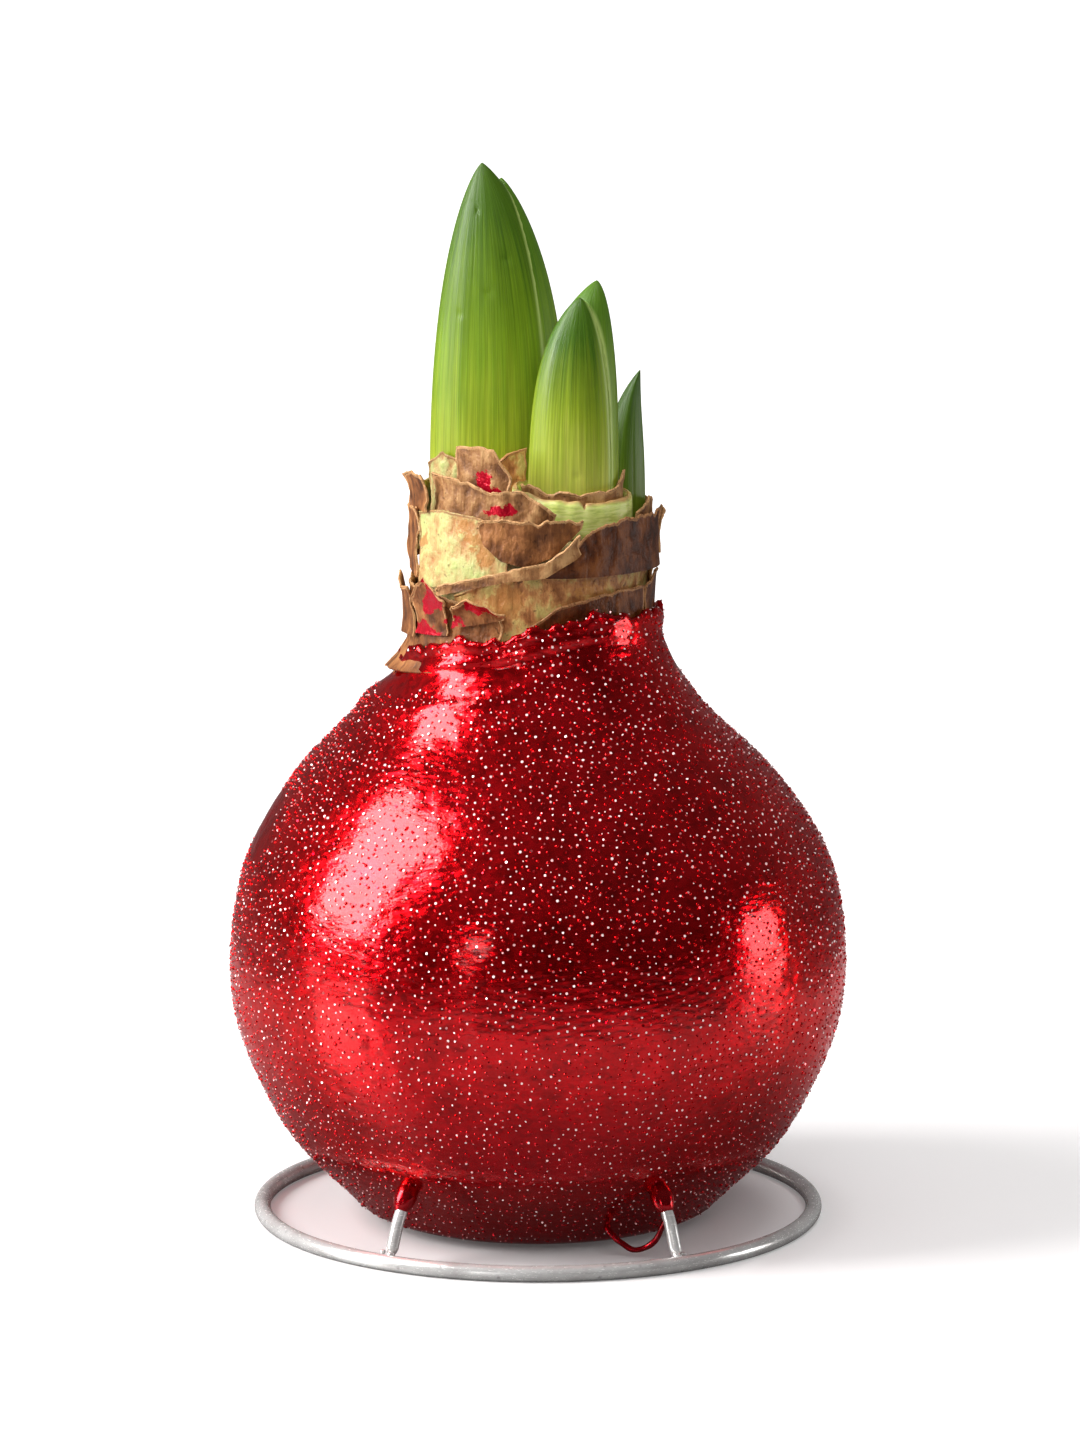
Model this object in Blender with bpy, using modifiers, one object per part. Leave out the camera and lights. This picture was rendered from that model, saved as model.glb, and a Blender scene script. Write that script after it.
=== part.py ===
"""A waxed amaryllis bulb on a wire ring stand, built at its real size.

The origin is on the table at the middle of the ring, +Z is up, and the front looks along -Y.
Sizes below are in millimetres and become metres where a mesh is made.
"""
import math

import bmesh
import bpy
from mathutils import Matrix, Vector

MM = 0.001

# Overall sizes
GAP = 0.3                    # clearance between touching pieces
WAX = 1.5                    # thickness of the wax skin
SHEET = 0.65                 # thickness of a papery scale
LAYER = SHEET + GAP          # from one papery layer to the next

# The wire stand
RING_RADIUS = 42.8
RING_WIRE = 1.25
RING_SIDES = 10
LEG_WIRE = 0.95
LEG_ANGLES = {"front_left": -122, "front_right": -60, "back_left": 122, "back_right": 60}
LEG_ROUTE = ((41.8, 2.45), (41.0, 4.4), (39.9, 6.9), (38.2, 9.4), (35.6, 12.2), (32.2, 15.6))
BEAD = (38.1, 10.0)          # where the wax gathers round each prong: radius, height
BEAD_SIZE = (2.6, 2.1)       # along the prong and across it

# The outside of the wax, from the middle of its foot up to the neck: radius, height
WAX_OUTLINE = ((0, 0.35), (18, 0.42), (26.3, 1.7), (32.0, 6.2), (40.6, 16), (47.5, 34), (46.2, 54),
               (38.2, 68.4), (27.0, 80.3), (21.5, 90.5), (20.5, 97.5))
WAX_INNER_NECK = ((23.0, 84.2), (20.7, 87.8), (19.8, 92), (19.4, 97.5))
BULB_NECK = ((21.9, 84.8), (19.3, 87.6), (17.5, 90.4), (17.0, 94), (17.0, 103), (16.7, 107.3), (15.9, 107.9))
NECK_FOOT = 83.5             # the height where the neck's own outlines take over
NOSE = 107.9                 # the cut top of the neck, where the shoots stand
LEAN = -0.9                  # how far the neck leans to the left
RIM_FIXED = 82               # wax below this height keeps the plain outline
WAX_TOP = 97.5

# The wax's hanging drip beside the front right prong
DRIP_WIRE = 0.75
DRIP_ROUTE = ((9.6, -26.6, 5.6), (11.4, -28.6, 3.4), (14.6, -29.6, 1.5), (17.6, -30.6, 3.0), (19.4, -32.4, 7.2))

# The two shoots and the small leaf: middle, half width, half depth
LARGE = {"middle": (-5.8, 4.6), "half": (10.8, 6.8)}
MEDIUM = {"middle": (5.4, -7.0), "half": (6.9, 4.5)}
SMALL = {"middle": (13.0, 1.8), "half": (3.5, 2.7)}
COLLAR = {"middle": (5.2, -6.8), "half": (9.0, 7.7)}
COLLAR_WALL = 0.95
COLLAR_BACK = 0.72          # the ring is squeezed behind, where the large pair stands

GREEN = (0.22, 0.42, 0.03)
PALE_GREEN = (0.50, 0.62, 0.16)
TAN = (0.46, 0.25, 0.11)
BROWN = (0.26, 0.11, 0.045)
CREAM = (0.72, 0.58, 0.32)
RED = (0.42, 0.0, 0.012)
STEEL = (0.72, 0.71, 0.70)


def clear_scene():
    for item in list(bpy.data.objects):
        bpy.data.objects.remove(item, do_unlink=True)


def new_collection(name):
    collection = bpy.data.collections.new(name)
    bpy.context.scene.collection.children.link(collection)
    return collection


def material(name, colour, roughness, metallic=0.0):
    made = bpy.data.materials.new(name)
    made.use_nodes = True
    shader = made.node_tree.nodes["Principled BSDF"]
    shader.inputs["Base Color"].default_value = (*colour, 1)
    shader.inputs["Roughness"].default_value = roughness
    shader.inputs["Metallic"].default_value = metallic
    return made


def add_piece(name, mesh, finish, collection):
    piece = bpy.data.objects.new(name, mesh)
    collection.objects.link(piece)
    mesh.materials.clear()
    mesh.materials.append(material(name, *finish))
    mesh.shade_smooth()
    mesh.set_sharp_from_angle(angle=math.radians(40))
    return piece


def add_cutter(name, mesh):
    cutter = bpy.data.objects.new(name, mesh)
    CUTTERS.objects.link(cutter)
    cutter.hide_render = True
    cutter.display_type = "WIRE"
    return cutter


def settled_mesh(item):
    """The item's mesh with its modifiers worked in, in world space; the item itself goes."""
    graph = bpy.context.evaluated_depsgraph_get()
    mesh = bpy.data.meshes.new_from_object(item.evaluated_get(graph))
    mesh.transform(item.matrix_world)
    form = bmesh.new()
    form.from_mesh(mesh)
    bmesh.ops.remove_doubles(form, verts=form.verts, dist=0.00001)
    form.to_mesh(mesh)
    form.free()
    bpy.data.objects.remove(item, do_unlink=True)
    return mesh


def smooth_line(points, steps):
    """A Catmull-Rom line through the points, with the given steps in each stretch."""
    spots = [Vector(point) for point in points]
    spots = [2 * spots[0] - spots[1]] + spots + [2 * spots[-1] - spots[-2]]
    line = []
    for index in range(1, len(spots) - 2):
        before, start, end, after = spots[index - 1:index + 3]
        for step in range(steps):
            t = step / steps
            line.append(0.5 * ((2 * start) + (end - before) * t
                               + (2 * before - 5 * start + 4 * end - after) * t * t
                               + (3 * start - before - 3 * end + after) * t ** 3))
    line.append(spots[-2].copy())
    return line


def outline_radius(line, height):
    """The radius of a turned outline at a height."""
    for low, high in zip(line, line[1:]):
        if low.y <= height <= high.y:
            share = (height - low.y) / max(high.y - low.y, 1e-9)
            return low.x + (high.x - low.x) * share
    return line[-1].x if height > line[-1].y else line[0].x


def moved_in(line, distance):
    """The outline moved inwards, square to itself, and kept off the axis."""
    inner = []
    for index, point in enumerate(line):
        along = line[min(index + 1, len(line) - 1)] - line[max(index - 1, 0)]
        inward = Vector((-along.y, along.x)).normalized()
        spot = point + inward * distance
        inner.append(Vector((max(spot.x, 0), spot.y)))
    inner[0].x = 0
    return inner


def turned(name, outline, segments, closed):
    """A profile in the XZ plane, spun once round Z by a Screw modifier."""
    mesh = bpy.data.meshes.new(name)
    edges = [(index, index + 1) for index in range(len(outline) - 1)]
    if closed:
        edges.append((len(outline) - 1, 0))
    mesh.from_pydata([(r * MM, 0, z * MM) for r, z in outline], edges, [])
    item = bpy.data.objects.new(name, mesh)
    PARTS.objects.link(item)
    screw = item.modifiers.new("turn", "SCREW")
    screw.steps = segments
    screw.render_steps = segments
    screw.use_merge_vertices = True
    screw.merge_threshold = 0.00002
    return settled_mesh(item)


def neck_shift(height):
    """How far the bulb's axis stands to the left at a height."""
    share = min(max((height - 58) / 32, 0), 1)
    return LEAN * share * share * (3 - 2 * share)


def wax_rim(angle):
    """The height of the wax's ragged upper edge round the neck."""
    base = 92.2 + 4.9 * math.cos(angle + math.radians(45))
    return base + 0.55 * math.sin(5 * angle + 1.0) + 0.4 * math.sin(11 * angle)


def lumps(angle, height):
    """The uneven thickness that the dipped wax has."""
    return 0.16 * math.sin(3 * angle + 0.05 * height) + 0.13 * math.sin(7 * angle - 0.11 * height + 1.3)


def tube(name, route, radius, sides_level=2, capped=True):
    """A round wire along the route, as a welded mesh."""
    curve = bpy.data.curves.new(name, "CURVE")
    curve.dimensions = "3D"
    curve.bevel_depth = radius * MM
    curve.bevel_resolution = sides_level
    curve.use_fill_caps = capped
    spline = curve.splines.new("POLY")
    spline.points.add(len(route) - 1)
    for point, spot in zip(spline.points, route):
        point.co = (*(value * MM for value in spot), 1)
    item = bpy.data.objects.new(name, curve)
    PARTS.objects.link(item)
    return settled_mesh(item)


def leg_route(angle, extra=0.0):
    """A prong's route in space; extra lengthens both of its ends."""
    flat = smooth_line(LEG_ROUTE, 2)
    if extra:
        flat[0] = flat[0] + (flat[0] - flat[1]).normalized() * extra
        flat[-1] = flat[-1] + (flat[-1] - flat[-2]).normalized() * extra
    turn = math.radians(angle)
    return [(spot.x * math.cos(turn), spot.x * math.sin(turn), spot.y) for spot in flat]


def boolean(item, operand, operation):
    step = item.modifiers.new(operation.lower(), "BOOLEAN")
    step.operation = operation
    step.solver = "EXACT"
    step.object = operand


def make_ring():
    bpy.ops.mesh.primitive_torus_add(major_segments=72, minor_segments=RING_SIDES,
                                     major_radius=RING_RADIUS * MM, minor_radius=RING_WIRE * MM)
    ring = bpy.context.object
    half_side = math.pi / RING_SIDES
    lift = RING_WIRE * math.cos(half_side) * MM
    for vertex in ring.data.vertices:
        around = math.atan2(vertex.co.y, vertex.co.x)
        out = math.hypot(vertex.co.x, vertex.co.y) - RING_RADIUS * MM
        tilt = math.atan2(vertex.co.z, out) + math.pi / 2 - half_side
        out = RING_RADIUS * MM + RING_WIRE * MM * math.cos(tilt)
        height = RING_WIRE * MM * math.sin(tilt) + lift
        vertex.co = (out * math.cos(around), out * math.sin(around), height)
    mesh = settled_mesh(ring)
    lowest = min(vertex.co.z for vertex in mesh.vertices)
    mesh.transform(Matrix.Translation((0, 0, -lowest)))
    add_piece("stand_ring", mesh, (STEEL, 0.25, 1.0), PARTS)


def make_legs():
    for place, angle in LEG_ANGLES.items():
        name = "stand_leg_" + place
        add_piece(name, tube(name, leg_route(angle), LEG_WIRE), (STEEL, 0.22, 1.0), PARTS)


def make_leg_cutters():
    cutters = []
    for place, angle in LEG_ANGLES.items():
        mesh = tube("cut_" + place, leg_route(angle, extra=GAP), LEG_WIRE + GAP)
        cutters.append(add_cutter("cut_" + place, mesh))
    return cutters


def make_wax(cutters):
    outer = smooth_line(WAX_OUTLINE, 2)
    inner = [point for point in moved_in(smooth_line(WAX_OUTLINE, 1), WAX) if point.y < NECK_FOOT]
    inner += [Vector(point) for point in WAX_INNER_NECK]
    profile = list(reversed(outer)) + inner
    mesh = turned("wax_coat", profile, 72, closed=False)
    form = bmesh.new()
    form.from_mesh(mesh)
    rim = [edge for edge in form.edges if edge.is_boundary]
    outside = {}
    for vertex in form.verts:
        radius = math.hypot(vertex.co.x, vertex.co.y) / MM
        height = vertex.co.z / MM
        wall = outline_radius(outer, height)
        outside[vertex.index] = radius > wall - 0.5 * WAX or height < outer[1].y
    bmesh.ops.bridge_loops(form, edges=rim)
    for vertex in form.verts:
        angle = math.atan2(vertex.co.y, vertex.co.x)
        radius = math.hypot(vertex.co.x, vertex.co.y) / MM
        height = vertex.co.z / MM
        line = outer if outside[vertex.index] else inner
        if height > RIM_FIXED:
            share = (height - RIM_FIXED) / (WAX_TOP - RIM_FIXED)
            height = RIM_FIXED + share * (wax_rim(angle) - RIM_FIXED)
            radius = outline_radius(line, height)
        if outside[vertex.index] and height > 3:
            radius += lumps(angle, height)
        vertex.co = Vector((radius * math.cos(angle) + neck_shift(height), radius * math.sin(angle), height)) * MM
    bmesh.ops.recalc_face_normals(form, faces=form.faces)
    form.to_mesh(mesh)
    form.free()
    centre = [(min(v.co[axis] for v in mesh.vertices) + max(v.co[axis] for v in mesh.vertices)) / 2
              for axis in (0, 1)]
    mesh.transform(Matrix.Translation((-centre[0], -centre[1], 0)))
    coat = add_piece("wax_coat", mesh, (RED, 0.25), PARTS)
    for place, angle in LEG_ANGLES.items():
        bpy.ops.mesh.primitive_uv_sphere_add(segments=12, ring_count=8, radius=MM)
        bead = bpy.context.object
        bead.scale = (BEAD_SIZE[1], BEAD_SIZE[1], BEAD_SIZE[0])
        bead.rotation_euler = (0, -math.radians(38), math.radians(angle))
        turn = math.radians(angle)
        bead.location = Vector((BEAD[0] * math.cos(turn), BEAD[0] * math.sin(turn), BEAD[1])) * MM
        bpy.context.view_layer.update()
        boolean(coat, add_cutter("bead_" + place, settled_mesh(bead)), "UNION")
    drip = tube("drip", smooth_line(DRIP_ROUTE, 3), DRIP_WIRE)
    boolean(coat, add_cutter("drip", drip), "UNION")
    boolean(coat, core_cutter(), "DIFFERENCE")
    for cutter in cutters:
        boolean(coat, cutter, "DIFFERENCE")


def core_outline(distance):
    """The turned outline inside the wax, the given distance below its surface, up to the neck."""
    return [point for point in moved_in(smooth_line(WAX_OUTLINE, 1), distance) if point.y < NECK_FOOT]


def core_cutter():
    """A plain core that trims beads and drip flush with the inside of the wax."""
    outline = core_outline(WAX + 0.2 * GAP)
    outline.append(Vector((0, outline[-1].y)))
    mesh = turned("core", list(reversed(outline)), 72, closed=False)
    for vertex in mesh.vertices:
        vertex.co.x += neck_shift(vertex.co.z / MM) * MM
    return add_cutter("core", mesh)


def make_bulb(cutters):
    outline = core_outline(WAX + GAP)
    outline += [Vector(point) for point in BULB_NECK] + [Vector((0, NOSE))]
    mesh = turned("bulb", list(reversed(outline)), 48, closed=False)
    for vertex in mesh.vertices:
        vertex.co.x += neck_shift(vertex.co.z / MM) * MM
    bulb = add_piece("bulb", mesh, (CREAM, 0.6), PARTS)
    for cutter in cutters:
        boolean(bulb, cutter, "DIFFERENCE")


def spear_width(share, fullness):
    """The width of a leaf from its foot (0) to its tip (1), as a share of its widest."""
    foot = 1 - 0.12 * max(0, 1 - share / 0.16) ** 2
    return foot * max(1 - share ** fullness[0], 0) ** fullness[1]


def make_leaf(name, shoot, height, tip, fullness, parting, finish, size=1.0, keel=0.0):
    """A spear-shaped leaf, flattened where it meets the other leaf of its pair.

    parting is the direction of the seam in degrees and the side that the leaf is on, or None.
    """
    form = bmesh.new()
    rows = 15
    bmesh.ops.create_uvsphere(form, u_segments=18, v_segments=rows, radius=1)
    middle = Vector(shoot["middle"])
    half = Vector(shoot["half"]) * size
    foot = NOSE + GAP
    for vertex in form.verts:
        row = 1 - math.acos(max(-1, min(1, vertex.co.z))) / math.pi
        share = max(row - 1 / rows, 0) * rows / (rows - 1)
        share = 1 - (1 - share) ** 1.35
        round_angle = math.atan2(vertex.co.y, vertex.co.x)
        reach = 0.0 if row < 0.5 / rows else spear_width(share, fullness)
        fold = 1 - keel * abs(math.sin(2 * round_angle))
        spot = Vector((half.x * math.cos(round_angle), half.y * math.sin(round_angle))) * reach * fold
        spot += middle + (Vector(tip) - middle) * share ** 4
        if parting:
            seam = math.radians(parting[0])
            outward = Vector((-math.sin(seam), math.cos(seam))) * parting[1]
            depth = (spot - middle).dot(outward)
            if depth < GAP / 2:
                spot += outward * (GAP / 2 - depth)
        vertex.co = Vector((spot.x, spot.y, foot + share * (height - foot))) * MM
    bmesh.ops.recalc_face_normals(form, faces=form.faces)
    mesh = bpy.data.meshes.new(name)
    form.to_mesh(mesh)
    form.free()
    add_piece(name, mesh, finish, PARTS)


def make_leaves():
    make_leaf("leaf_large_front", LARGE, 163.3, (-8.5, 3.2), (3.0, 0.8), (-34, -1), (GREEN, 0.35))
    make_leaf("leaf_large_back", LARGE, 160.6, (-5.6, 6.6), (3.0, 0.8), (-34, 1), (GREEN, 0.35), size=0.97)
    make_leaf("leaf_medium_front", MEDIUM, 144.2, (6.3, -8.2), (3.6, 0.75), (-24, -1), (GREEN, 0.35))
    make_leaf("leaf_medium_back", MEDIUM, 146.4, (8.9, -5.0), (3.6, 0.75), (-24, 1), (GREEN, 0.35), size=1.0)
    make_leaf("leaf_small", SMALL, 131.8, (15.6, 1.8), (2.6, 0.9), None, (GREEN, 0.4), keel=0.16)


def collar_rim(angle):
    """The upper edge of the cut leaf base, lowest at the front right."""
    return 114.7 - 1.0 * math.cos(angle + math.radians(55)) + 0.15 * math.sin(7 * angle)


def make_collar():
    foot = NOSE + GAP
    levels = 4
    segments = 40
    form = bmesh.new()
    bmesh.ops.create_cone(form, cap_ends=False, segments=segments, radius1=1, radius2=1, depth=1)
    bmesh.ops.subdivide_edges(form, edges=[edge for edge in form.edges
                                           if abs(edge.verts[0].co.z - edge.verts[1].co.z) > 0.5],
                              cuts=levels - 1)
    for vertex in form.verts:
        angle = math.atan2(vertex.co.y, vertex.co.x)
        share = vertex.co.z + 0.5
        back = COLLAR_BACK if vertex.co.y > 0 else 1.0
        swell = 1 + 0.03 * math.sin(math.pi * share)
        x = COLLAR["middle"][0] + COLLAR["half"][0] * swell * math.cos(angle)
        y = COLLAR["middle"][1] + COLLAR["half"][1] * swell * back * math.sin(angle)
        z = foot + share * (collar_rim(angle) - foot)
        vertex.co = Vector((x, y, z)) * MM
    mesh = bpy.data.meshes.new("leaf_collar")
    form.to_mesh(mesh)
    form.free()
    collar = add_piece("leaf_collar", mesh, (PALE_GREEN, 0.45), PARTS)
    wall = collar.modifiers.new("wall", "SOLIDIFY")
    wall.thickness = COLLAR_WALL * MM
    wall.offset = -1
    wall.use_even_offset = True


def neck_radius(height):
    """The bare neck's radius under the papery scales."""
    if height < 94:
        return outline_radius([Vector(point) for point in BULB_NECK], height)
    return 17.0 - 0.05 * max(height - 104, 0)


def ripple(angle, height):
    """The shallow folds that all papery scales share, so that layers nest."""
    return 0.1 * math.sin(9 * angle + 0.3 * height) * math.cos(4 * angle - 0.2 * height)


def along(values, share):
    """A value between evenly spaced ones."""
    place = min(max(share, 0), 1) * (len(values) - 1)
    index = min(int(place), len(values) - 2)
    return values[index] + (values[index + 1] - values[index]) * (place - index)


def make_sheet(name, span, foot, rim, layer=0, finish=(BROWN, 0.7), wrap=None, curl=0.0, up=4, side_curl=0.0):
    """A papery scale: a curved sheet round the neck, or round a shoot that it wraps.

    span is in degrees from the front, to the right; foot and rim are heights from left to right.
    """
    across = max(4, math.ceil(abs(span[1] - span[0]) / 9))
    form = bmesh.new()
    bmesh.ops.create_grid(form, x_segments=across, y_segments=up, size=0.5)
    bmesh.ops.triangulate(form, faces=form.faces, quad_method="FIXED")
    for vertex in form.verts:
        side = vertex.co.x + 0.5
        rise = vertex.co.y + 0.5
        angle = math.radians(span[0] + (span[1] - span[0]) * side)
        height = along(foot, side) + (along(rim, side) - along(foot, side)) * rise
        flare = curl * rise ** 3 + side_curl * abs(2 * side - 1) ** 3
        if wrap:
            middle, half, reach = wrap
            spot = Vector((middle[0] + (half[0] + reach + flare) * math.sin(angle),
                           middle[1] - (half[1] + reach + flare) * math.cos(angle)))
        else:
            radius = neck_radius(height) + GAP + layer * LAYER + ripple(angle, height) + flare
            spot = Vector((radius * math.sin(angle) + LEAN, -radius * math.cos(angle)))
        vertex.co = Vector((spot.x, spot.y, height)) * MM
    mesh = bpy.data.meshes.new(name)
    form.to_mesh(mesh)
    form.free()
    sheet = add_piece(name, mesh, finish, PARTS)
    wall = sheet.modifiers.new("wall", "SOLIDIFY")
    wall.thickness = SHEET * MM
    wall.offset = 1
    wall.use_even_offset = True


def make_front_scales():
    make_sheet("tunic_upper_left", (-58, 12), (106, 106), (117.4, 118.2, 117.6, 114.6, 112.4), 0, (TAN, 0.75))
    make_sheet("scale_tan_lower", (-40, 80), (91, 91), (99.4, 103.4, 104, 104, 104), 0, (TAN, 0.5))
    make_sheet("scale_flesh_left", (-66, -12), (100.2, 100.2), (111.4, 112.2, 111.8, 110.6), 1, (CREAM, 0.45))
    make_sheet("tunic_lower_front", (-4, 64), (91, 91), (94.6, 98.4, 99.6, 100.1, 100.0), 1)
    make_sheet("tunic_lower_left", (-100, -14), (90.6, 91), (99.6, 99.6, 99.0, 97.0), 1)
    make_sheet("tunic_edge_right", (66, 98), (91, 91), (99.8, 101.6, 100.8), 1, curl=0.3)
    make_sheet("tunic_curl_left", (-90, -60), (112.4, 112.8), (115.0, 116.6, 116.4), 1, curl=0.4)
    make_sheet("tunic_right_upper", (60, 100), (104, 104), (111.4, 113.2, 111.0), 1, (TAN, 0.7))
    make_sheet("tunic_band_left", (-24, 22), (103.6, 105.0, 106.6, 110.4), (111.4, 112.0, 111.6, 111.8), 2)
    make_sheet("tunic_band_right", (-4, 84), (101.4, 102.6, 102.8, 102.4),
               (102.4, 106.8, 110.4, 111.2, 111.0, 111.0), 2)
    make_sheet("tunic_ribbon", (-44, 22), (99.6, 101.2, 102.6, 103.2, 106.6), (101.2, 102.6, 104.2, 105.4, 109.6),
               3, (TAN, 0.7), up=2)
    make_sheet("tunic_cup_left", (-63, -41), (92.8, 93.4), (98.6, 101.4, 98.8), 2, curl=0.8)
    make_sheet("tunic_cup_middle", (-38, -14), (94.8, 96.6), (97.8, 99.2, 98.0), 2, curl=1.3)
    make_sheet("tunic_left_lower", (-98, -66), (91.6, 92.2), (100.6, 99.0, 99.8), 2, curl=0.7)
    make_sheet("tunic_edge_left", (-92, -68), (101.6, 101.2), (111.0, 111.6), 1, side_curl=0.3)
    make_sheet("tunic_flake_right", (86, 100), (104.0, 104.0), (109.6, 110.8), 2, curl=0.7)


def make_back_scales():
    make_sheet("scale_back", (112, 262), (104, 104), (113.0, 114.6, 115.4, 113.6, 114.4), 0, (CREAM, 0.5))
    make_sheet("tunic_back_upper", (104, 262), (102.6, 102.4), (111.6, 112.8, 111.4, 112.2, 111.4), 1)
    make_sheet("tunic_back_lower", (101, 257), (91, 90.6), (101.2, 101.8, 100.4, 101.4, 100.2), 1, (TAN, 0.7))
    make_sheet("tunic_back_flap", (128, 206), (98.4, 97.6), (104.4, 106.4, 105.2, 103.4), 2, curl=0.6)


def make_inner_scales():
    floor = NOSE + GAP
    make_sheet("tunic_flap", (-50, -21), (floor, floor), (119.4, 120.8, 120.4, 118.4), 0, (TAN, 0.7),
               wrap=((LEAN, 0), (14.0, 14.0), 0), curl=-0.5)
    make_sheet("scale_cream_left", (-66, -30), (floor, floor), (117.4, 119.4, 118.0), 0, (CREAM, 0.5),
               wrap=(LARGE["middle"], LARGE["half"], 0.45))
    make_sheet("scale_olive", (-4, 20), (floor, floor), (117.6, 119.2, 118.6), 0, (TAN, 0.6),
               wrap=(LARGE["middle"], LARGE["half"], 0.45))
    make_sheet("collar_lining", (-86, 96), (floor, floor), (114.4, 113.9, 113.2, 113.4, 116.6), 0, (TAN, 0.7),
               wrap=(COLLAR["middle"], (7.25, 5.7), 0))


clear_scene()
PARTS = new_collection("amaryllis_bulb")
CUTTERS = new_collection("cutters")
make_ring()
make_legs()
LEG_CUTTERS = make_leg_cutters()
make_wax(LEG_CUTTERS)
make_bulb(LEG_CUTTERS)
make_leaves()
make_collar()
make_front_scales()
make_back_scales()
make_inner_scales()
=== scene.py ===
# %% [markdown]
# # A waxed amaryllis bulb on its wire stand
#
# This lesson dresses a measured model of a bulb that has been dipped in red glitter wax. The
# measured model, or frame, gives every piece its size and place. Each cell adds one piece or one
# finish: the wire stand, the wax skin with its grains and glitter, the papery neck, and the green
# shoots.

# %% Load the frame
import math

import bpy
import numpy as np
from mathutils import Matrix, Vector, noise


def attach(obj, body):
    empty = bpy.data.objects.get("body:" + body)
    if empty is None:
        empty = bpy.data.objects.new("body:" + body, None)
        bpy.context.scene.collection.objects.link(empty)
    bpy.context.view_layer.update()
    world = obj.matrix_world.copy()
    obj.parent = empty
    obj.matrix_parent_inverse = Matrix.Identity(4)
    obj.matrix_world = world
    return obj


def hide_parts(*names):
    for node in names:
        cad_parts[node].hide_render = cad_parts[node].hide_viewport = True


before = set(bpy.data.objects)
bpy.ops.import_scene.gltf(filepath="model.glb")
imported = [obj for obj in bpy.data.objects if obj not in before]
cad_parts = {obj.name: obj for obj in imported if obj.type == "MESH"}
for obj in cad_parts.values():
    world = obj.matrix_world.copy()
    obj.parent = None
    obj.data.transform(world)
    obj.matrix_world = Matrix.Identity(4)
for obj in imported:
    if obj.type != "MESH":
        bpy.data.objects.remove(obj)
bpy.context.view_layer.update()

print("nodes in the frame:", len(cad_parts))

# %% [markdown]
# ## Camera
#
# The bulb was photographed with a long lens from a little above, so the ring shows as a flat
# ellipse. A camera that stands 1.2 m away and looks down by 10.9 degrees gives the same ellipse,
# and the lens is chosen so that the widest part of the bulb fills the same share of the picture.

# %% Camera
VIEW_DISTANCE = 1.2
VIEW_DOWN = math.radians(10.886)
AIM_HEIGHT = 0.07765
CAMERA_ASIDE = 0.0003
LENS = 195.3


def place_in_scene(name, data):
    """Links a new object with this data to the scene."""
    item = bpy.data.objects.new(name, data)
    bpy.context.scene.collection.objects.link(item)
    return item


camera_data = bpy.data.cameras.new("studio_camera")
camera_data.lens = LENS
camera_data.sensor_width = 36
camera_data.clip_start = 0.05
camera_data.clip_end = 30
camera = place_in_scene("studio_camera", camera_data)
camera.location = (CAMERA_ASIDE, -VIEW_DISTANCE * math.cos(VIEW_DOWN),
                   AIM_HEIGHT + VIEW_DISTANCE * math.sin(VIEW_DOWN))
camera.rotation_euler = (math.pi / 2 - VIEW_DOWN, 0, 0)
bpy.context.scene.camera = camera
print("camera at", tuple(round(value, 3) for value in camera.location))

# %% [markdown]
# ## Helpers
#
# Some small helpers are used all through. An operator acts on everything that is selected, so one
# helper selects a single piece first, and two more open a piece for editing and close it again. The
# last one registers a finished piece with the frame, so that it stands for its measured nodes.

# %% Helpers for pieces
MM = 0.001


def choose(piece=None):
    if bpy.context.mode != "OBJECT":
        bpy.ops.object.mode_set(mode="OBJECT")
    bpy.ops.object.select_all(action="DESELECT")
    if piece:
        piece.select_set(True)
        bpy.context.view_layer.objects.active = piece


def settle(piece):
    """Puts the piece's place into its mesh, so that its object sits at the origin."""
    choose(piece)
    bpy.ops.object.transform_apply(location=True, rotation=True, scale=True)


def start_edit(piece):
    """Opens a piece for editing, with its whole mesh selected."""
    choose(piece)
    bpy.ops.object.mode_set(mode="EDIT")
    bpy.ops.mesh.select_all(action="SELECT")


def end_edit(merge=0):
    """Merges corners nearer than a distance, turns the faces outward and closes the piece."""
    bpy.ops.mesh.select_all(action="SELECT")
    if merge:
        bpy.ops.mesh.remove_doubles(threshold=merge)
    bpy.ops.mesh.normals_make_consistent(inside=False)
    bpy.ops.object.mode_set(mode="OBJECT")


def outward(piece):
    start_edit(piece)
    end_edit()


def join(pieces):
    """Makes one object of several, and keeps the first one's name."""
    choose(pieces[0])
    for piece in pieces[1:]:
        piece.select_set(True)
    bpy.ops.object.join()
    return pieces[0]


def roughen(piece, scale, depth):
    """Moves every corner by smooth noise, up to about the depth in metres."""
    for vertex in piece.data.vertices:
        vertex.co += noise.noise_vector(vertex.co * scale) * depth


def finish_piece(piece, name, finish, nodes=(), sharp=None):
    choose(piece)
    piece.name = name
    piece.data.name = name
    piece.data.materials.clear()
    piece.data.materials.append(finish)
    bpy.ops.object.shade_smooth()
    if sharp:
        bpy.ops.object.shade_smooth_by_angle(angle=math.radians(sharp))
    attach(piece, "root")
    if nodes:
        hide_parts(*nodes)
    print(name, "faces:", len(piece.data.polygons))


def read_places(mesh):
    places = np.empty(len(mesh.vertices) * 3)
    mesh.vertices.foreach_get("co", places)
    return places.reshape(-1, 3)


def write_places(mesh, places):
    mesh.vertices.foreach_set("co", np.ascontiguousarray(places).ravel())
    mesh.update()


# %% Helpers for finishes
def feed(tree, node, inputs):
    """Fills a node's inputs; each value is a number, a colour or another node's socket."""
    for key, value in inputs.items():
        if isinstance(value, bpy.types.NodeSocket):
            tree.links.new(value, node.inputs[key])
        else:
            node.inputs[key].default_value = value


def add_node(tree, kind, inputs=None, **settings):
    made = tree.nodes.new("ShaderNode" + kind)
    for key, value in settings.items():
        setattr(made, key, value)
    feed(tree, made, inputs or {})
    return made


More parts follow.
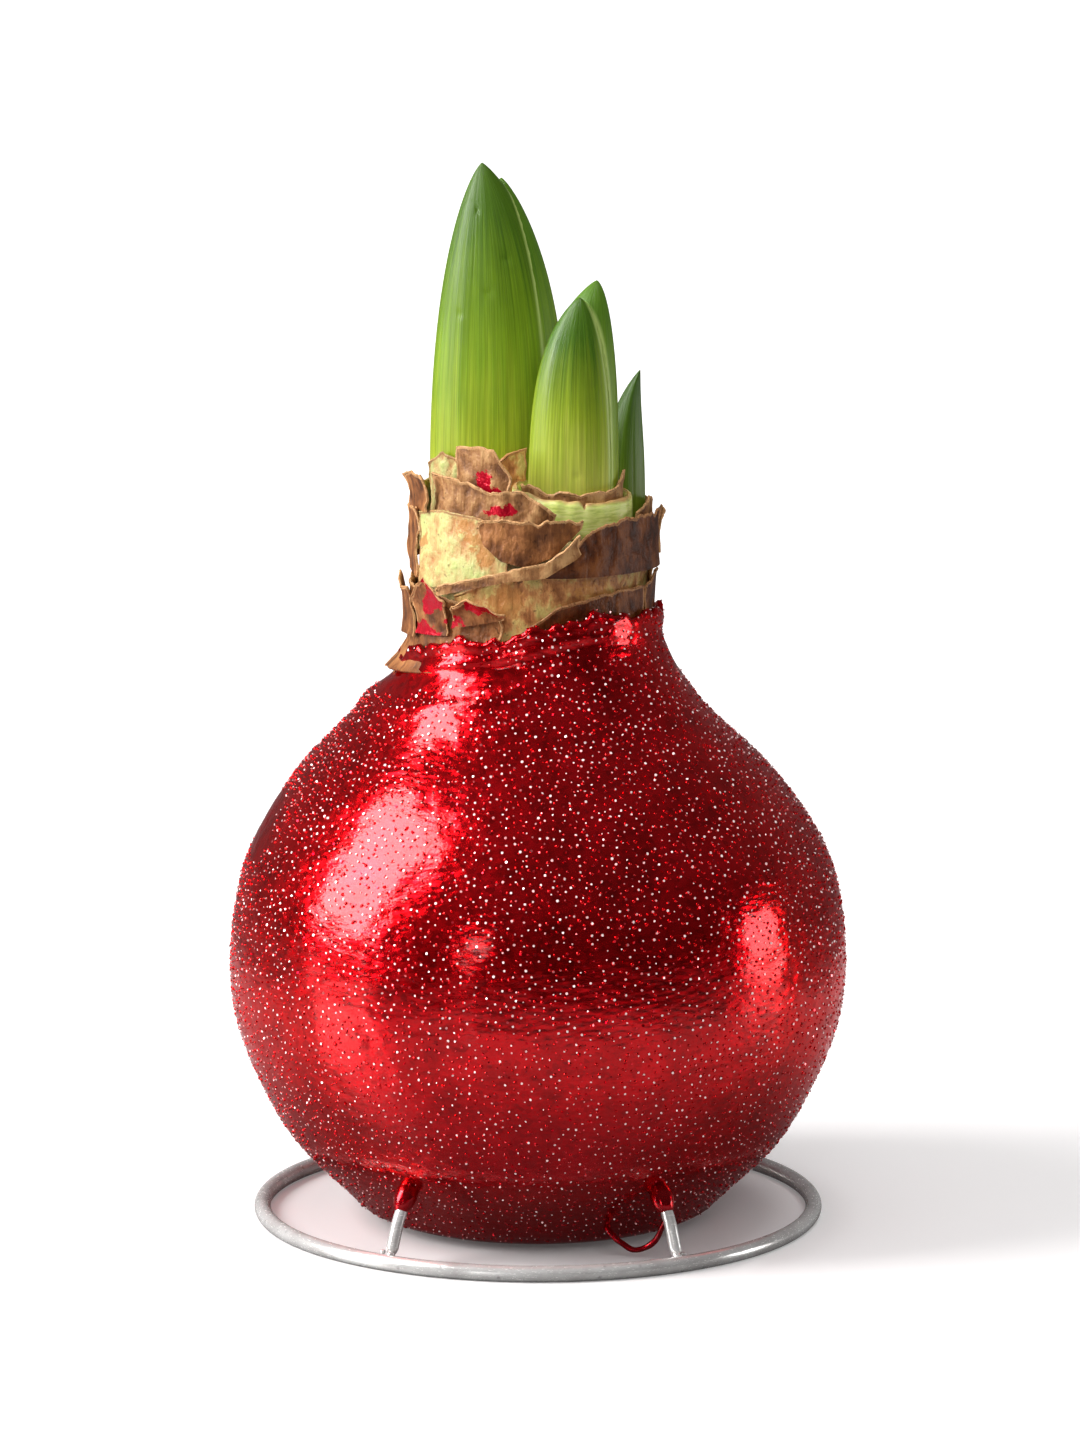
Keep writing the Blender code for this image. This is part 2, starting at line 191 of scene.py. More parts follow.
def new_finish(name):
    finish = bpy.data.materials.new(name)
    finish.use_nodes = True
    tree = finish.node_tree
    shader = tree.nodes["Principled BSDF"]
    places = add_node(tree, "TexCoord").outputs["Object"]
    return finish, tree, shader, places


def colour_ramp(tree, share, stops):
    """A colour ramp from (position, colour) stops."""
    ramp = add_node(tree, "ValToRGB", {"Fac": share})
    elements = ramp.color_ramp.elements
    while len(elements) < len(stops):
        elements.new(0.5)
    for element, (position, colour) in zip(elements, stops):
        element.position = position
        element.color = (*colour, 1)
    return ramp.outputs["Color"]


def blend_colours(tree, share, first, second, mode="MIX"):
    made = add_node(tree, "Mix", data_type="RGBA", blend_type=mode)
    for socket, value in ((made.inputs[0], share), (made.inputs[6], first),
                          (made.inputs[7], second)):
        if isinstance(value, bpy.types.NodeSocket):
            tree.links.new(value, socket)
        else:
            socket.default_value = value if isinstance(value, float) else (*value, 1)
    return made.outputs[2]


def spread(tree, value, low, high, out_low=0.0, out_high=1.0):
    """Maps a value from one range to another and clamps it."""
    made = add_node(tree, "MapRange", {"Value": value, "From Min": low, "From Max": high,
                                       "To Min": out_low, "To Max": out_high})
    return made.outputs[0]


def noise_at(tree, places, scale, detail=3.0, roughness=0.55):
    return add_node(tree, "TexNoise", {"Vector": places, "Scale": scale, "Detail": detail,
                                       "Roughness": roughness}).outputs["Fac"]


def stretched(tree, places, scale, turn=(0, 0, 0)):
    """The same places scaled along each axis, so that a pattern on them is stretched."""
    made = add_node(tree, "Mapping", {"Vector": places, "Rotation": turn, "Scale": scale})
    return made.outputs[0]


def bump(tree, height, depth, strength=1.0, below=None):
    made = add_node(tree, "Bump", {"Height": height, "Distance": depth, "Strength": strength})
    if below:
        tree.links.new(below, made.inputs["Normal"])
    return made.outputs["Normal"]


print("helpers are ready")

# %% [markdown]
# ## Studio
#
# The object stands on a white sweep with a large soft box at the left, a smaller one at the right,
# a dim room in front of it and white paper behind and below. Glossy wax shows all of these, so they
# are placed for their reflections: the dim room in front gives the dark belt across the middle of
# the bulb. The paper glows. For the camera its glow is low near the bulb, a painted contact shadow
# that also deepens the bulb's cast shadow. For the wax it has a second glow, a painted bright ring
# round the bulb for the wax to mirror, and to every ray but the camera's the paper is painted dark
# grey.

# %% Studio: floor, world and lights
FLOOR_SIZE = 6.0
# the camera's glow of the floor at each distance from the middle; its low values are painted shadow
FLOOR_GLOW_WITH_PAINTED_SHADOW = ((0.0, 0.02), (0.036, 0.07), (0.05, 0.32), (0.15, 0.38), (0.9, 1.0))
# the glow that only reflections see: a painted bright ring round the bulb, for the wax to mirror
FLOOR_PAINTED_REFLECTION_GLOW = ((0.05, 0.03), (0.10, 0.40), (0.19, 0.50), (0.27, 0.02))


def grey_ramp(tree, share, stops):
    return colour_ramp(tree, share, [(position, (level,) * 3) for position, level in stops])


bpy.ops.mesh.primitive_plane_add(size=FLOOR_SIZE, location=(0, 0, 0))
floor = bpy.context.object
floor.name = "studio_floor"
floor_finish, tree, shader, places = new_finish("white_paper")
away = add_node(tree, "VectorMath", {0: places}, operation="LENGTH").outputs["Value"]
direct = add_node(tree, "LightPath").outputs["Is Camera Ray"]
glow = blend_colours(tree, direct, grey_ramp(tree, away, FLOOR_PAINTED_REFLECTION_GLOW),
                     grey_ramp(tree, away, FLOOR_GLOW_WITH_PAINTED_SHADOW))
# painted shade: to every ray but the camera's the paper is dark grey
paper = blend_colours(tree, direct, (0.15, 0.15, 0.15), (0.80, 0.775, 0.77))
feed(tree, shader, {"Base Color": paper, "Emission Color": glow, "Emission Strength": 1.0,
                    "Roughness": 0.30, "Specular IOR Level": 0.40})
floor.data.materials.append(floor_finish)

world = bpy.data.worlds.new("studio_room")
bpy.context.scene.world = world
world.use_nodes = True
tree = world.node_tree
tree.nodes.clear()
path = add_node(tree, "LightPath")
direction = add_node(tree, "TexCoord").outputs["Generated"]
height = add_node(tree, "SeparateXYZ", {"Vector": direction})
back = spread(tree, height.outputs["Y"], -0.35, 0.35)
up = spread(tree, height.outputs["Z"], 0.0, 0.9)
room = colour_ramp(tree, back, [(0.0, (0.015, 0.015, 0.016)), (0.45, (0.04, 0.04, 0.04)),
                                (1.0, (0.16, 0.16, 0.16))])
room = blend_colours(tree, up, room, (0.10, 0.10, 0.105))
seen = add_node(tree, "Background", {"Color": (1, 1, 1, 1), "Strength": 1.0})
felt = add_node(tree, "Background", {"Color": room, "Strength": 1.0})
mixed = add_node(tree, "MixShader", {0: path.outputs["Is Camera Ray"], 1: felt.outputs[0],
                                     2: seen.outputs[0]})
add_node(tree, "OutputWorld", {"Surface": mixed.outputs[0]})


def soft_box(name, place, aim, size, power):
    light = bpy.data.lights.new(name, "AREA")
    light.shape = "RECTANGLE"
    light.size, light.size_y = size
    light.energy = power
    holder = place_in_scene(name, light)
    holder.location = place
    holder.rotation_euler = (Vector(aim) - Vector(place)).to_track_quat("-Z", "Y").to_euler()
    return holder


# each light: where it stands, where it points, its width and height in metres, its power in watts
soft_box("key_left", (-1.0, -0.20, 0.66), (0, 0, 0.06), (0.56, 1.05), 30)
soft_box("reflector_right", (0.50, 0.0, 0.06), (0, 0, 0.04), (0.15, 0.13), 0.36)
soft_box("window_front", (-0.46, -1.17, 0.32), (0, 0, 0.05), (0.13, 0.18), 0.5)
for bounce in (soft_box("top", (0.1, -0.1, 1.2), (0, 0, 0), (1.2, 1.0), 7),
               soft_box("bounce_front", (0.25, -1.1, 0.75), (0, 0, 0.07), (0.8, 0.6), 6)):
    bounce.visible_glossy = False
bpy.context.scene.view_settings.view_transform = "Standard"

# %% [markdown]
# ## The wire stand
#
# The ring is bright drawn steel wire, 2.5 mm thick, closed by a butt weld under the front left
# prong. Four thinner prongs are welded on its inner edge and go up into the wax. A circle of wire
# could be a torus, but a wire's end seam and flat floor side are easier to shape on a spun circle,
# so the wire's round section is spun about the bulb's axis.

# %% Steel finish
def steel_finish():
    finish, tree, shader, places = new_finish("drawn_steel")
    streaks = stretched(tree, places, (1.0, 1.0, 14.0))
    grain = noise_at(tree, streaks, 900, 4, 0.6)
    blotch = noise_at(tree, places, 190, 3)
    pits = add_node(tree, "TexVoronoi", {"Vector": places, "Scale": 420.0}).outputs["Distance"]
    pit_mask = spread(tree, pits, 0.05, 0.16)
    colour = colour_ramp(tree, blotch, [(0.30, (0.70, 0.67, 0.65)), (0.55, (0.88, 0.86, 0.84)),
                                        (0.8, (0.95, 0.93, 0.91))])
    colour = blend_colours(tree, spread(tree, pit_mask, 0.0, 1.0, 0.55, 1.0), (0.16, 0.14, 0.13),
                           colour)
    feed(tree, shader, {
        "Base Color": colour,
        "Metallic": 0.58,
        "Roughness": spread(tree, grain, 0.3, 0.7, 0.14, 0.30),
        "Normal": bump(tree, grain, 0.00002, 0.5, bump(tree, pit_mask, 0.00003, 0.5)),
    })
    return finish


STEEL = steel_finish()

# %% Ring
RING_RADIUS = 42.8 * MM
RING_WIRE = 1.25 * MM
RING_LOW = 1.19 * MM         # the wire's middle, above its small flat on the table
SEAM_ANGLE = math.radians(-121.5)
SEAM_WIDTH = 0.28 * MM
SECTION_SIDES = 28
RING_STEPS = 280
MERGE = 0.000008             # corners nearer than this are one

choose()
bpy.ops.mesh.primitive_circle_add(vertices=SECTION_SIDES, radius=RING_WIRE,
                                  location=(RING_RADIUS, 0, RING_LOW),
                                  rotation=(math.pi / 2, 0, 0))
ring = bpy.context.object
settle(ring)
start_edit(ring)
bpy.ops.mesh.spin(steps=RING_STEPS, angle=math.tau, center=(0, 0, 0), axis=(0, 0, 1))
end_edit(MERGE)
places = read_places(ring.data)
around = np.arctan2(places[:, 1], places[:, 0])
from_seam = np.abs((around - SEAM_ANGLE + math.pi) % math.tau - math.pi) * RING_RADIUS
pinch = 1 - 0.10 * np.exp(-(from_seam / SEAM_WIDTH) ** 2)
wander = 0.02 * MM * np.sin(3 * around + 0.4)
middle = np.stack([RING_RADIUS * np.cos(around), RING_RADIUS * np.sin(around),
                   np.full(len(around), RING_LOW)], 1)
places = middle + (places - middle) * pinch[:, None]
places[:, 2] = np.maximum(places[:, 2] + wander, 0)
write_places(ring.data, places)
finish_piece(ring, "wire_ring", STEEL, ["stand_ring"])

# %% [markdown]
# The prongs are cut from thinner wire. Each follows a gentle bend, so a curve with a round bevel is
# the natural start; it is then made a mesh. Both ends are rounded. Each foot gets a bead of weld
# metal, and three smaller drops of it lie beside them.

# %% Prongs and welds
LEG_WIRE = 0.95 * MM
LEG_ANGLES = {"front_left": -122, "front_right": -60, "back_left": 122, "back_right": 60}
# a prong from its weld into the bulb: distance from the axis and height
LEG_ROUTE = ((41.75, 2.6), (41.0, 4.4), (39.9, 6.9), (38.2, 9.4), (35.6, 12.2), (32.6, 15.2))


def smooth_line(points, steps):
    """A Catmull-Rom line through the points, with the given steps in each stretch."""
    spots = [Vector(point) for point in points]
    spots = [2 * spots[0] - spots[1]] + spots + [2 * spots[-1] - spots[-2]]
    line = []
    for index in range(1, len(spots) - 2):
        before, start, end, after = spots[index - 1:index + 3]
        for step in range(steps):
            t = step / steps
            line.append(0.5 * ((2 * start) + (end - before) * t
                               + (2 * before - 5 * start + 4 * end - after) * t * t
                               + (3 * start - before - 3 * end + after) * t ** 3))
    line.append(spots[-2].copy())
    return line


def wire_along(route, thickness):
    """A tube with rounded ends along a route in metres; thickness is its radius."""
    curve = bpy.data.curves.new("wire", "CURVE")
    curve.dimensions = "3D"
    curve.bevel_depth = 1.0
    curve.bevel_resolution = 6
    curve.use_fill_caps = True
    spline = curve.splines.new("POLY")
    start = (route[0] - route[1]).normalized()
    end = (route[-1] - route[-2]).normalized()
    dome = [(0.98, 0.15), (0.85, 0.55), (0.6, 0.82), (0.2, 0.99)]
    path = [(route[0] + start * thickness * (out - 1), size) for out, size in dome]
    path += [(spot, 1.0) for spot in route[1:-1]]
    path += [(route[-1] + end * thickness * (out - 1), size) for out, size in reversed(dome)]
    spline.points.add(len(path) - 1)
    for point, (spot, size) in zip(spline.points, path):
        point.co = (*spot, 1)
        point.radius = size * thickness
    choose(place_in_scene("wire", curve))
    bpy.ops.object.convert(target="MESH")
    made = bpy.context.object
    start_edit(made)
    end_edit(MERGE)
    return made


def turned_spot(radius, height, degrees):
    turn = math.radians(degrees)
    return Vector((radius * math.cos(turn), radius * math.sin(turn), height)) * MM


for place, degrees in LEG_ANGLES.items():
    route = [turned_spot(spot.x, spot.y, degrees) for spot in smooth_line(LEG_ROUTE, 5)]
    leg = wire_along(route, LEG_WIRE)
    finish_piece(leg, "prong_" + place, STEEL, ["stand_leg_" + place])

# each weld: distance from the axis, height, direction in degrees and size
WELD_SPOTS = [(42.0, 2.35, degrees, 0.75) for degrees in LEG_ANGLES.values()]
WELD_SPOTS += [(41.7, 2.5, -124.2, 0.5), (41.75, 2.4, -58.3, 0.45), (41.7, 2.5, 124.0, 0.5)]
welds = []
for radius, height, degrees, size in WELD_SPOTS:
    choose()
    bpy.ops.mesh.primitive_ico_sphere_add(subdivisions=2, radius=size * MM,
                                          location=turned_spot(radius, height, degrees))
    weld = bpy.context.object
    weld.scale = (1.15, 0.9, 0.75)
    weld.rotation_euler = (0, 0, math.radians(degrees + 20))
    settle(weld)
    roughen(weld, 900, 0.1 * MM)
    welds.append(weld)
finish_piece(join(welds), "weld_beads", STEEL)

# %% [markdown]
# ## The wax skin
#
# The bulb is dipped, so the wax follows the bulb's turned shape with soft lumps, a ragged upper
# lip, a bead round each prong and a drip underneath. A turned profile gives the main shape: it is
# drawn once in the XZ plane and spun round the axis. The lumps are then pressed in with formulas,
# because a dipped skin is uneven everywhere but nowhere sharp.

# %% Wax outline
# radius and height in millimetres, from the middle of the base up to the lip
WAX_OUTLINE = ((0, 0.35), (18, 0.42), (26.3, 1.7), (32.0, 6.2), (40.6, 16), (47.5, 34), (46.2, 54),
               (38.2, 68.4), (27.0, 80.3), (21.5, 90.5), (20.5, 97.5))
WAX_INNER_NECK = ((20.7, 87.8), (19.8, 92), (19.4, 97.5))
SKIN = 1.4                   # thickness of the wax
WAX_LOW = 0.52               # how far the skin lies inside the measured surface, for its grains
NECK_FOOT = 83.5             # below it the wax's inside follows its outside
LEAN = -0.9                  # how far the neck stands to the left
LEAN_START, LEAN_SPAN = 58, 32
RIM_FIXED = 82               # the ragged rim pulls on the skin above this height
WAX_TOP = 97.5
ROW_STEP = 0.62
INNER_STEP = 3.4
SKIN_STEPS = 300


def neck_shift(height):
    """How far the bulb's axis stands to the left at a height, in millimetres."""
    share = np.clip((height - LEAN_START) / LEAN_SPAN, 0, 1)
    return LEAN * share * share * (3 - 2 * share)


def wax_rim(angle):
    """The height of the wax's ragged upper edge."""
    return 91.8 + 4.9 * np.cos(angle + math.radians(45)) + 0.55 * np.sin(5 * angle + 1.0)


def lumps(angle, height):
    return 0.16 * np.sin(3 * angle + 0.05 * height) + 0.13 * np.sin(7 * angle - 0.11 * height + 1.3)


def even_rows(line, spacing):
    """The same line with its points evenly spaced."""
    line = np.array([(point[0], point[1]) for point in line], float)
    lengths = np.concatenate([[0], np.cumsum(np.linalg.norm(np.diff(line, axis=0), axis=1))])
    at = np.linspace(0, lengths[-1], max(3, int(lengths[-1] / spacing)))
    return np.stack([np.interp(at, lengths, line[:, 0]), np.interp(at, lengths, line[:, 1])], 1)


def inset_line(line, depth):
    """A line that lies the given depth inside another."""
    along = np.gradient(line, axis=0)
    along /= np.linalg.norm(along, axis=1)[:, None]
    moved = line + np.stack([-along[:, 1], along[:, 0]], 1) * depth
    moved[0, 0] = 0
    return moved


outer_line = even_rows(smooth_line([(r, z, 0) for r, z in WAX_OUTLINE], 24), ROW_STEP)
below_neck = outer_line[outer_line[:, 1] < NECK_FOOT]
inner_line = np.vstack([inset_line(even_rows(below_neck, INNER_STEP), SKIN), WAX_INNER_NECK])
print("rows on the wax:", len(outer_line), "outside,", len(inner_line), "inside")


# %% Turned shapes
def noise_field(points, scale, seed=0.0):
    """Smooth noise at many points, about -1 to 1."""
    offset = Vector((seed * 17.3, seed * 5.1, seed * 9.7))
    return np.array([noise.noise(Vector(point) * scale + offset) for point in points])


def turned(name, line, steps):
    """Turns a line of (radius, height) in millimetres round the upright axis.

    The rows are built in order, so every run numbers the faces alike for the draws.
    """
    near = MERGE / MM
    line = [tuple(line[0])] + [tuple(b) for a, b in zip(line, line[1:]) if math.dist(a, b) > near]
    corners, rows, faces = [], [], []
    for r, z in line:
        if rows and math.dist((r, z), line[0]) < near:
            rows.append(rows[0])
            continue
        turns = [i * math.tau / steps for i in range(steps)] if r > near else [0]
        rows.append([len(corners) + i % len(turns) for i in range(steps)])
        corners += [(r * math.cos(turn) * MM, r * math.sin(turn) * MM, z * MM) for turn in turns]
    for lower, upper in zip(rows, rows[1:]):
        for i in range(steps):
            after = (i + 1) % steps
            face = tuple(dict.fromkeys((lower[i], lower[after], upper[after], upper[i])))
            if len(face) > 2:
                faces.append(face)
    mesh = bpy.data.meshes.new(name)
    mesh.from_pydata(corners, [], faces)
    piece = place_in_scene(name, mesh)
    outward(piece)
    return piece


# %% Wax skin
skin = turned("wax_skin", np.vstack([inner_line, outer_line[::-1]]), SKIN_STEPS)
places = read_places(skin.data) / MM
radius = np.hypot(places[:, 0], places[:, 1])
angle = np.arctan2(places[:, 1], places[:, 0])
height = places[:, 2].copy()
outer_radius = np.interp(height, outer_line[:, 1], outer_line[:, 0])
outside = (radius > outer_radius - 0.5 * SKIN) | (height < 0.8)
rim_share = np.clip((height - RIM_FIXED) / (WAX_TOP - RIM_FIXED), 0, 1)
edge_jag = 0.5 * noise_field(np.stack([np.cos(angle) * 18, np.sin(angle) * 18, 0 * angle], 1), 0.8)
edge_jag += (0.4 * np.sin(11 * angle) + 0.35 * np.sin(23 * angle + 0.7)
             + 0.25 * np.sin(41 * angle + 2.0))
height = np.where(rim_share > 0,
                  RIM_FIXED + rim_share * (wax_rim(angle) - RIM_FIXED) + edge_jag * rim_share ** 3,
                  height)
below_rim = wax_rim(angle) - height
left_front = np.clip(np.cos(angle + math.radians(115)), 0, 1)
fold = (0.42 * np.exp(-((below_rim - 4.2 - 1.2 * np.sin(angle)) / 0.8) ** 2)
        + 0.30 * np.exp(-((below_rim - 7.6 - 1.8 * np.sin(2 * angle)) / 1.0) ** 2)) * left_front
shaped = lumps(angle, places[:, 2]) * np.clip(radius / 20, 0, 1) * (height > 3)
slack = 0.10 * noise_field(places, 0.28, 1) + 0.07 * noise_field(places, 0.62, 2)
shaped = shaped + (slack - WAX_LOW) * np.clip((height - 1.5) / 2, 0, 1)
lip = np.exp(-((rim_share - 0.93) / 0.10) ** 2) * 0.30
radius = radius + np.where(outside, shaped + lip + fold, -0.1 * rim_share)
places = np.stack([radius * np.cos(angle) + neck_shift(height), radius * np.sin(angle), height], 1)
centre_shift = (places.min(0) + places.max(0)) / 2
places[:, :2] -= centre_shift[:2]
write_places(skin.data, places * MM)
print("wax skin spans", np.round(places.max(0) - places.min(0), 1), "mm")


# %% Wax finish
def wax_finish(name, tone=1.0, metal=0.90):
    finish, tree, shader, places = new_finish(name)
    blotch = noise_at(tree, places, 160, 4)
    specks = add_node(tree, "TexVoronoi", {"Vector": places, "Scale": 1250.0})
    speck_tone = add_node(tree, "SeparateColor", {"Color": specks.outputs["Color"]}).outputs[0]
    height = add_node(tree, "SeparateXYZ", {"Vector": places}).outputs["Z"]
    # painted shade: the wax's red is darker near the table, fading out 30 mm up
    low = spread(tree, height, 0.0, 0.03)
    colour = colour_ramp(tree, blotch, [(0.30, (0.46 * tone, 0.001, 0.003)),
                                        (0.52, (0.70 * tone, 0.002, 0.006)),
                                        (0.75, (0.86 * tone, 0.005, 0.012))])
    dark = colour_ramp(tree, speck_tone, [(0.0, (0.72, 0.6, 0.6)), (0.35, (1, 1, 1)),
                                          (0.9, (1, 1, 1))])
    colour = blend_colours(tree, 1.0, colour, dark, "MULTIPLY")
    # the painted shade near the table, from the mask above
    colour = blend_colours(tree, low, (0.34, 0.0, 0.006), colour)
    streaks = stretched(tree, places, (1.0, 1.0, 2.2), (0.5, 0.2, 0.6))
    pimples = add_node(tree, "TexVoronoi", {"Vector": streaks, "Scale": 620.0},
                       feature="SMOOTH_F1").outputs["Distance"]
    waves = noise_at(tree, streaks, 420, 4, 0.6)
    lowest = bump(tree, waves, 0.00025, 0.30)
    feed(tree, shader, {
        "Base Color": colour,
        "Metallic": metal,
        "Roughness": spread(tree, speck_tone, 0, 1, 0.16, 0.26),
        "Specular Tint": (1.0, 0.12, 0.13, 1),
        "Coat Weight": 0.45,
        "Coat Roughness": 0.06,
        "Normal": bump(tree, pimples, -0.00020, 0.45, lowest),
        "Coat Normal": lowest,
    })
    return finish


WAX = wax_finish("glitter_wax")
finish_piece(skin, "wax_skin", WAX, ["wax_coat"])

# %% [markdown]
# ## Grains and glitter
#
# The wax is full of coarse glitter. Some grains are covered by wax and show as pimples, which also
# make the outline of the bulb look finely toothed. Others lie bare and flash like small mirrors,
# and they have a faint painted glow of their own.
# Each kind is modelled once, as a body with few faces, and copied thousands of times with its own
# place, size and tilt. The draws come from a seeded generator, so every run gives the same bulb.

# %% Scatter on the wax
GLITTER = np.random.default_rng(7)
OUTSIDE = 1.1                # a face this near to the outline is on the outside of the wax
SPOT_SWAY = 0.3 * MM         # how far a spot strays from the middle of its face


def surface_spots(piece, count, lowest, upper_bias, spacing):
    """Random spots on the outer faces of a piece, none nearer to another than the spacing."""
    mesh = piece.data
    total = len(mesh.polygons)
    centre, normal, area = np.empty(total * 3), np.empty(total * 3), np.empty(total)
    mesh.polygons.foreach_get("center", centre)
    mesh.polygons.foreach_get("normal", normal)
    mesh.polygons.foreach_get("area", area)
    centre, normal = centre.reshape(-1, 3), normal.reshape(-1, 3)
    flat = centre - np.array([LEAN * MM, 0, 0]) * (centre[:, 2:3] > LEAN_START * MM)
    reach = np.hypot(flat[:, 0], flat[:, 1]) / MM
    outline = np.interp(centre[:, 2] / MM, outer_line[:, 1], outer_line[:, 0])
    faces_out = (reach > outline - OUTSIDE) & (centre[:, 2] > lowest * MM)
    weight = area * faces_out * (1 + upper_bias * np.clip(centre[:, 2] / MM / 60 - 0.4, 0, 1))
    picked = GLITTER.choice(total, count * 3, p=weight / weight.sum())
    side = GLITTER.normal(size=(count * 3, 3))
    side -= normal[picked] * (side * normal[picked]).sum(1)[:, None]
    spots = centre[picked] + side * SPOT_SWAY
    taken, kept = {}, []
    for index, spot in enumerate(spots):
        cell = tuple((spot // spacing).astype(int))
        near = [spots[other] for dx in (-1, 0, 1) for dy in (-1, 0, 1) for dz in (-1, 0, 1)
                for other in taken.get((cell[0] + dx, cell[1] + dy, cell[2] + dz), ())]
        if near and ((np.array(near) - spot) ** 2).sum(1).min() < spacing ** 2:
            continue
        taken.setdefault(cell, []).append(index)
        kept.append(index)
        if len(kept) == count:
            break
    return spots[kept], normal[picked][kept]


def scatter(name, model, spots, normals, sizes, tilt, sink):
    """Copies a small model to every spot; its own z axis becomes the tilted outward direction."""
    corners = read_places(model.data)
    faces = [tuple(face.vertices) for face in model.data.polygons]
    tilted = normals + GLITTER.normal(size=normals.shape) * tilt
    tilted /= np.linalg.norm(tilted, axis=1)[:, None]
    helper = GLITTER.normal(size=normals.shape)
    across = np.cross(tilted, helper)
    across /= np.linalg.norm(across, axis=1)[:, None]
    third = np.cross(tilted, across)
    base = spots - normals * sink * sizes[:, None]
    local = corners[None] * sizes[:, None, None]
    points = (base[:, None] + local[:, :, :1] * across[:, None] + local[:, :, 1:2] * third[:, None]
              + local[:, :, 2:] * tilted[:, None]).reshape(-1, 3)
    count, step = len(spots), len(corners)
    loops = np.concatenate([np.array(face) for face in faces])
    all_loops = (loops[None] + np.arange(count)[:, None] * step).ravel()
    totals = np.tile([len(face) for face in faces], count)
    mesh = bpy.data.meshes.new(name)
    mesh.vertices.add(len(points))
    mesh.vertices.foreach_set("co", points.ravel())
    mesh.loops.add(len(all_loops))
    mesh.loops.foreach_set("vertex_index", all_loops)
    mesh.polygons.add(len(totals))
    mesh.polygons.foreach_set("loop_start", np.concatenate([[0], np.cumsum(totals)[:-1]]))
    mesh.update(calc_edges=True)
    mesh.validate()
    bpy.data.objects.remove(model)
    return place_in_scene(name, mesh)


# %% Grains
GRAIN_COUNT = 7000
GRAIN_SPACING = 1.0 * MM
choose()
bpy.ops.mesh.primitive_ico_sphere_add(subdivisions=1, radius=1)
grain = bpy.context.object
grain.scale = (1, 0.8, 0.6)
settle(grain)
outward(grain)
spots, normals = surface_spots(skin, GRAIN_COUNT, 2.2, 0.6, GRAIN_SPACING)
sizes = GLITTER.uniform(0.22, 0.42, len(spots)) * MM
grains = scatter("wax_grains", grain, spots, normals, sizes, 0.25, 0.12)
finish_piece(grains, "wax_grains", wax_finish("glitter_wax_grain", 1.1, 0.85))

# %% Glitter flakes
FLAKE_COUNT = 16500          # asked for; the spacing leaves a few out
FLAKE_SPACING = 0.95 * MM
FLAKE_SIDES = 6
choose()
bpy.ops.mesh.primitive_cone_add(vertices=FLAKE_SIDES, radius1=1, depth=0.8)
flake = bpy.context.object
flake.rotation_euler = (math.pi, 0, 0)
settle(flake)
outward(flake)
spots, normals = surface_spots(skin, FLAKE_COUNT, 1.8, 1.5, FLAKE_SPACING)
sizes = GLITTER.uniform(0.11, 0.23, len(spots)) * MM
sizes *= 0.78 + 0.22 * np.clip(spots[:, 2] / 0.05, 0, 1)       # the lower flakes are smaller
flakes = scatter("glitter_flakes", flake, spots, normals, sizes, 0.30, -0.45)
print("flakes:", len(spots))


def store(piece, name, values, kind="FLOAT"):
    """Keeps a value for each corner of the mesh, for a finish to read."""
    layer = piece.data.attributes.new(name, kind, "POINT")
    layer.data.foreach_set("vector" if kind == "FLOAT_VECTOR" else "value",
                           np.ascontiguousarray(values, dtype=np.float32).ravel())


def stored(tree, name, output="Fac"):
    return add_node(tree, "Attribute", attribute_name=name).outputs[output]


store(flakes, "tone", np.repeat(GLITTER.random(len(spots)), FLAKE_SIDES + 1))


def flake_finish():
    finish, tree, shader, places = new_finish("glitter_flake")
    tone = stored(tree, "tone")
    colour = colour_ramp(tree, tone, [(0.0, (0.60, 0.0, 0.01)), (0.30, (0.90, 0.06, 0.08)),
                                      (0.42, (1.0, 0.50, 0.50)), (0.7, (1.0, 0.80, 0.78))])
    scratches = noise_at(tree, places, 5000, 2)
    feed(tree, shader, {
        "Base Color": colour,
        "Metallic": spread(tree, tone, 0.28, 0.5, 1.0, 0.15),
        "Roughness": spread(tree, scratches, 0.3, 0.7, 0.12, 0.30),
        "Normal": bump(tree, scratches, 0.00002, 0.3),
        # painted glow: each flake gives off a little light in its own colour, so it shows bright
        # even where no lamp catches it
        "Emission Color": colour,
        "Emission Strength": 0.07,
    })
    return finish


finish_piece(flakes, "glitter_flakes", flake_finish(), sharp=20)

# %% [markdown]
# Wax gathers where it runs off: a bead where each prong enters the bulb, and one thin drip that
# hangs beside the front right prong. The beads start as balls that are pressed out of round, and
# the drip is a thin strand on a curve.

# %% Wax beads and drip
BEAD = (37.6, 10.4)          # distance from the axis and height
BEAD_SIZE = (2.9, 1.75)      # along the prong and across it
DRIP_RADIUS = 0.45 * MM
DRIP_ROUTE = ((9.6, -26.6, 5.6), (11.4, -28.6, 3.4), (14.6, -29.6, 1.5), (17.6, -30.6, 3.0),
              (19.4, -32.4, 7.2))
beads = []
for degrees in LEG_ANGLES.values():
    choose()
    bpy.ops.mesh.primitive_ico_sphere_add(subdivisions=4, radius=1,
                                          location=turned_spot(*BEAD, degrees))
    bead = bpy.context.object
    bead.scale = (BEAD_SIZE[0] * MM, BEAD_SIZE[1] * MM, BEAD_SIZE[1] * MM)
    prong_way = turned_spot(*LEG_ROUTE[4], degrees) - turned_spot(*LEG_ROUTE[2], degrees)
    bead.rotation_euler = prong_way.to_track_quat("X", "Z").to_euler()
    settle(bead)
    roughen(bead, 300, 0.22 * MM)
    beads.append(bead)
strand = wire_along([spot * MM for spot in smooth_line(DRIP_ROUTE, 8)], DRIP_RADIUS)
roughen(strand, 500, 0.12 * MM)
finish_piece(join([strand] + beads), "wax_beads_and_drip", WAX)

